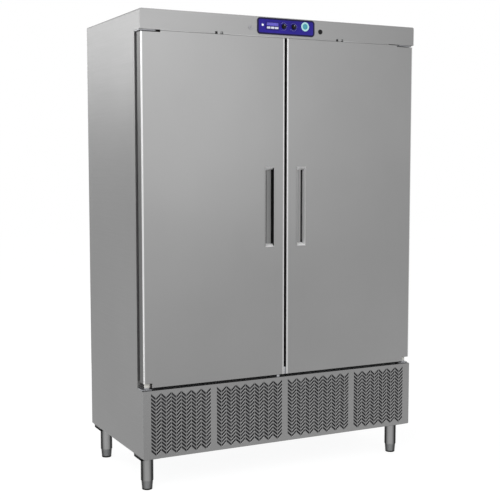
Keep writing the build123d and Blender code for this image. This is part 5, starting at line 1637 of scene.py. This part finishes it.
@dataclass
class Studio:
    """The photograph's camera angle, soft light, and a pale floor under a white background. Metres."""

    lens_mm: float = 72.4
    sensor_mm: float = 36.0
    stand: Point = (-2.1959, -4.3213, 1.4314)
    azimuth: float = math.radians(26.89)
    pitch: float = math.radians(-4.97)
    floor_size: float = 30.0
    floor_colour: str = "F2F2F2"
    shadow_colour: str = "7C7C7C"
    floor_glow: float = 0.9
    ambient: float = 0.5
    lamps: tuple[tuple[str, Point, Point, float, float], ...] = (
        ("front_right", (0.2, -3.4, 2.5), (-0.69, -0.346, 1.9), 2.6, 28.0),
        ("front_left", (-3.6, -3.4, 3.6), (0.0, 0.0, 1.2), 3.0, 90.0),
        ("back_left", (-3.2, 4.6, 2.95), (-0.69, 0.0, 1.6), 1.8, 41.0),
        ("low_left", (-2.8, 0.4, 0.2), (-0.65, -0.1, 0.1), 0.7, 12.0),
    )

    def build(self) -> None:
        """Makes the camera, the lamps, the floor and the world."""
        self.camera()
        self.floor()
        self.world()
        for lamp in self.lamps:
            self.lamp(*lamp)
        bpy.context.scene.view_settings.view_transform = "Standard"

    def camera(self) -> None:
        """The camera where the photograph was taken from."""
        data = bpy.data.cameras.new("camera")
        data.lens, data.sensor_width, data.clip_end = self.lens_mm, self.sensor_mm, 2 * self.floor_size
        camera = bpy.data.objects.new("camera", data)
        bpy.context.scene.collection.objects.link(camera)
        flat = math.cos(self.pitch)
        look = Vector((math.sin(self.azimuth) * flat, math.cos(self.azimuth) * flat, math.sin(self.pitch)))
        camera.location = self.stand
        camera.rotation_euler = look.to_track_quat("-Z", "Y").to_euler()
        bpy.context.scene.camera = camera

    def lamp(self, name: str, place: Point, target: Point, size: float, power: float) -> None:
        """A large soft lamp.

        Args:
            name: The lamp's name.
            place: Where it hangs.
            target: What it is turned to.
            size: The side of its square face.
            power: Its power in watts.
        """
        data = bpy.data.lights.new(name, "AREA")
        data.shape, data.size, data.energy = "SQUARE", size, power
        lamp = bpy.data.objects.new(name, data)
        bpy.context.scene.collection.objects.link(lamp)
        lamp.location = place
        lamp.rotation_euler = (Vector(target) - Vector(place)).to_track_quat("-Z", "Y").to_euler()

    def seen(self, tree: Tree) -> Socket:
        """One for rays from the camera, a gloss or a clear surface, and nothing for the rest.

        Args:
            tree: A node tree.

        Returns:
            The socket with the share.
        """
        path = add_node(tree, "ShaderNodeLightPath")
        gloss = add_node(tree, "ShaderNodeMath", {"operation": "MAXIMUM"}, {
            0: path.outputs["Is Camera Ray"], 1: path.outputs["Is Glossy Ray"],
        })
        return add_node(tree, "ShaderNodeMath", {"operation": "MAXIMUM"}, {
            0: gloss.outputs["Value"], 1: path.outputs["Is Transmission Ray"],
        }).outputs["Value"]

    def floor(self) -> None:
        """A pale floor that keeps the shadow and otherwise shows as white."""
        put_down()
        bpy.ops.mesh.primitive_plane_add(size=self.floor_size, location=(0, 0, 0))
        floor = bpy.context.active_object
        floor.name = "floor"
        material = bpy.data.materials.new("pale_floor")
        material.use_nodes = True
        tree = material.node_tree
        tree.nodes.clear()
        matt = add_node(tree, "ShaderNodeBsdfDiffuse", sockets={"Color": linear(self.floor_colour)})
        faint = add_node(tree, "ShaderNodeBsdfDiffuse", sockets={"Color": linear(self.shadow_colour)})
        white = add_node(tree, "ShaderNodeEmission", sockets={"Strength": self.floor_glow})
        shown = add_node(tree, "ShaderNodeAddShader", sockets={
            0: faint.outputs["BSDF"], 1: white.outputs["Emission"],
        })
        mixed = add_node(tree, "ShaderNodeMixShader", sockets={
            0: self.seen(tree), 1: matt.outputs["BSDF"], 2: shown.outputs["Shader"],
        })
        add_node(tree, "ShaderNodeOutputMaterial", sockets={"Surface": mixed.outputs["Shader"]})
        floor.data.materials.append(material)

    def world(self) -> None:
        """A white background over an even soft ambient light."""
        world = bpy.data.worlds.new("studio")
        bpy.context.scene.world = world
        world.use_nodes = True
        tree = world.node_tree
        tree.nodes.clear()
        soft, white = (add_node(tree, "ShaderNodeBackground", sockets={
            "Color": (1, 1, 1, 1), "Strength": strength,
        }).outputs["Background"] for strength in (self.ambient, 1.0))
        mixed = add_node(tree, "ShaderNodeMixShader", sockets={0: self.seen(tree), 1: soft, 2: white})
        add_node(tree, "ShaderNodeOutputWorld", sockets={"Surface": mixed.outputs["Shader"]})


def main() -> None:
    """Loads the frame, dresses it and sets the studio up."""
    logging.basicConfig(level=logging.INFO, format="%(name)s: %(message)s")
    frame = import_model()
    shop = Paintshop()
    shop.coat_nodes(frame["nodes"], frame["record"]["subparts"])
    kinds = (HerringboneGrille, ControlPanel, Locks, DoorSensors, HeaderLip, DoorRests, RecessedHandles,
             Feet, LegPads, CoverStrips, CoverScrews, Shelves, Gaskets)
    for kind in kinds:
        kind(shop).build()
    Studio().build()


if __name__ == "__main__":
    main()
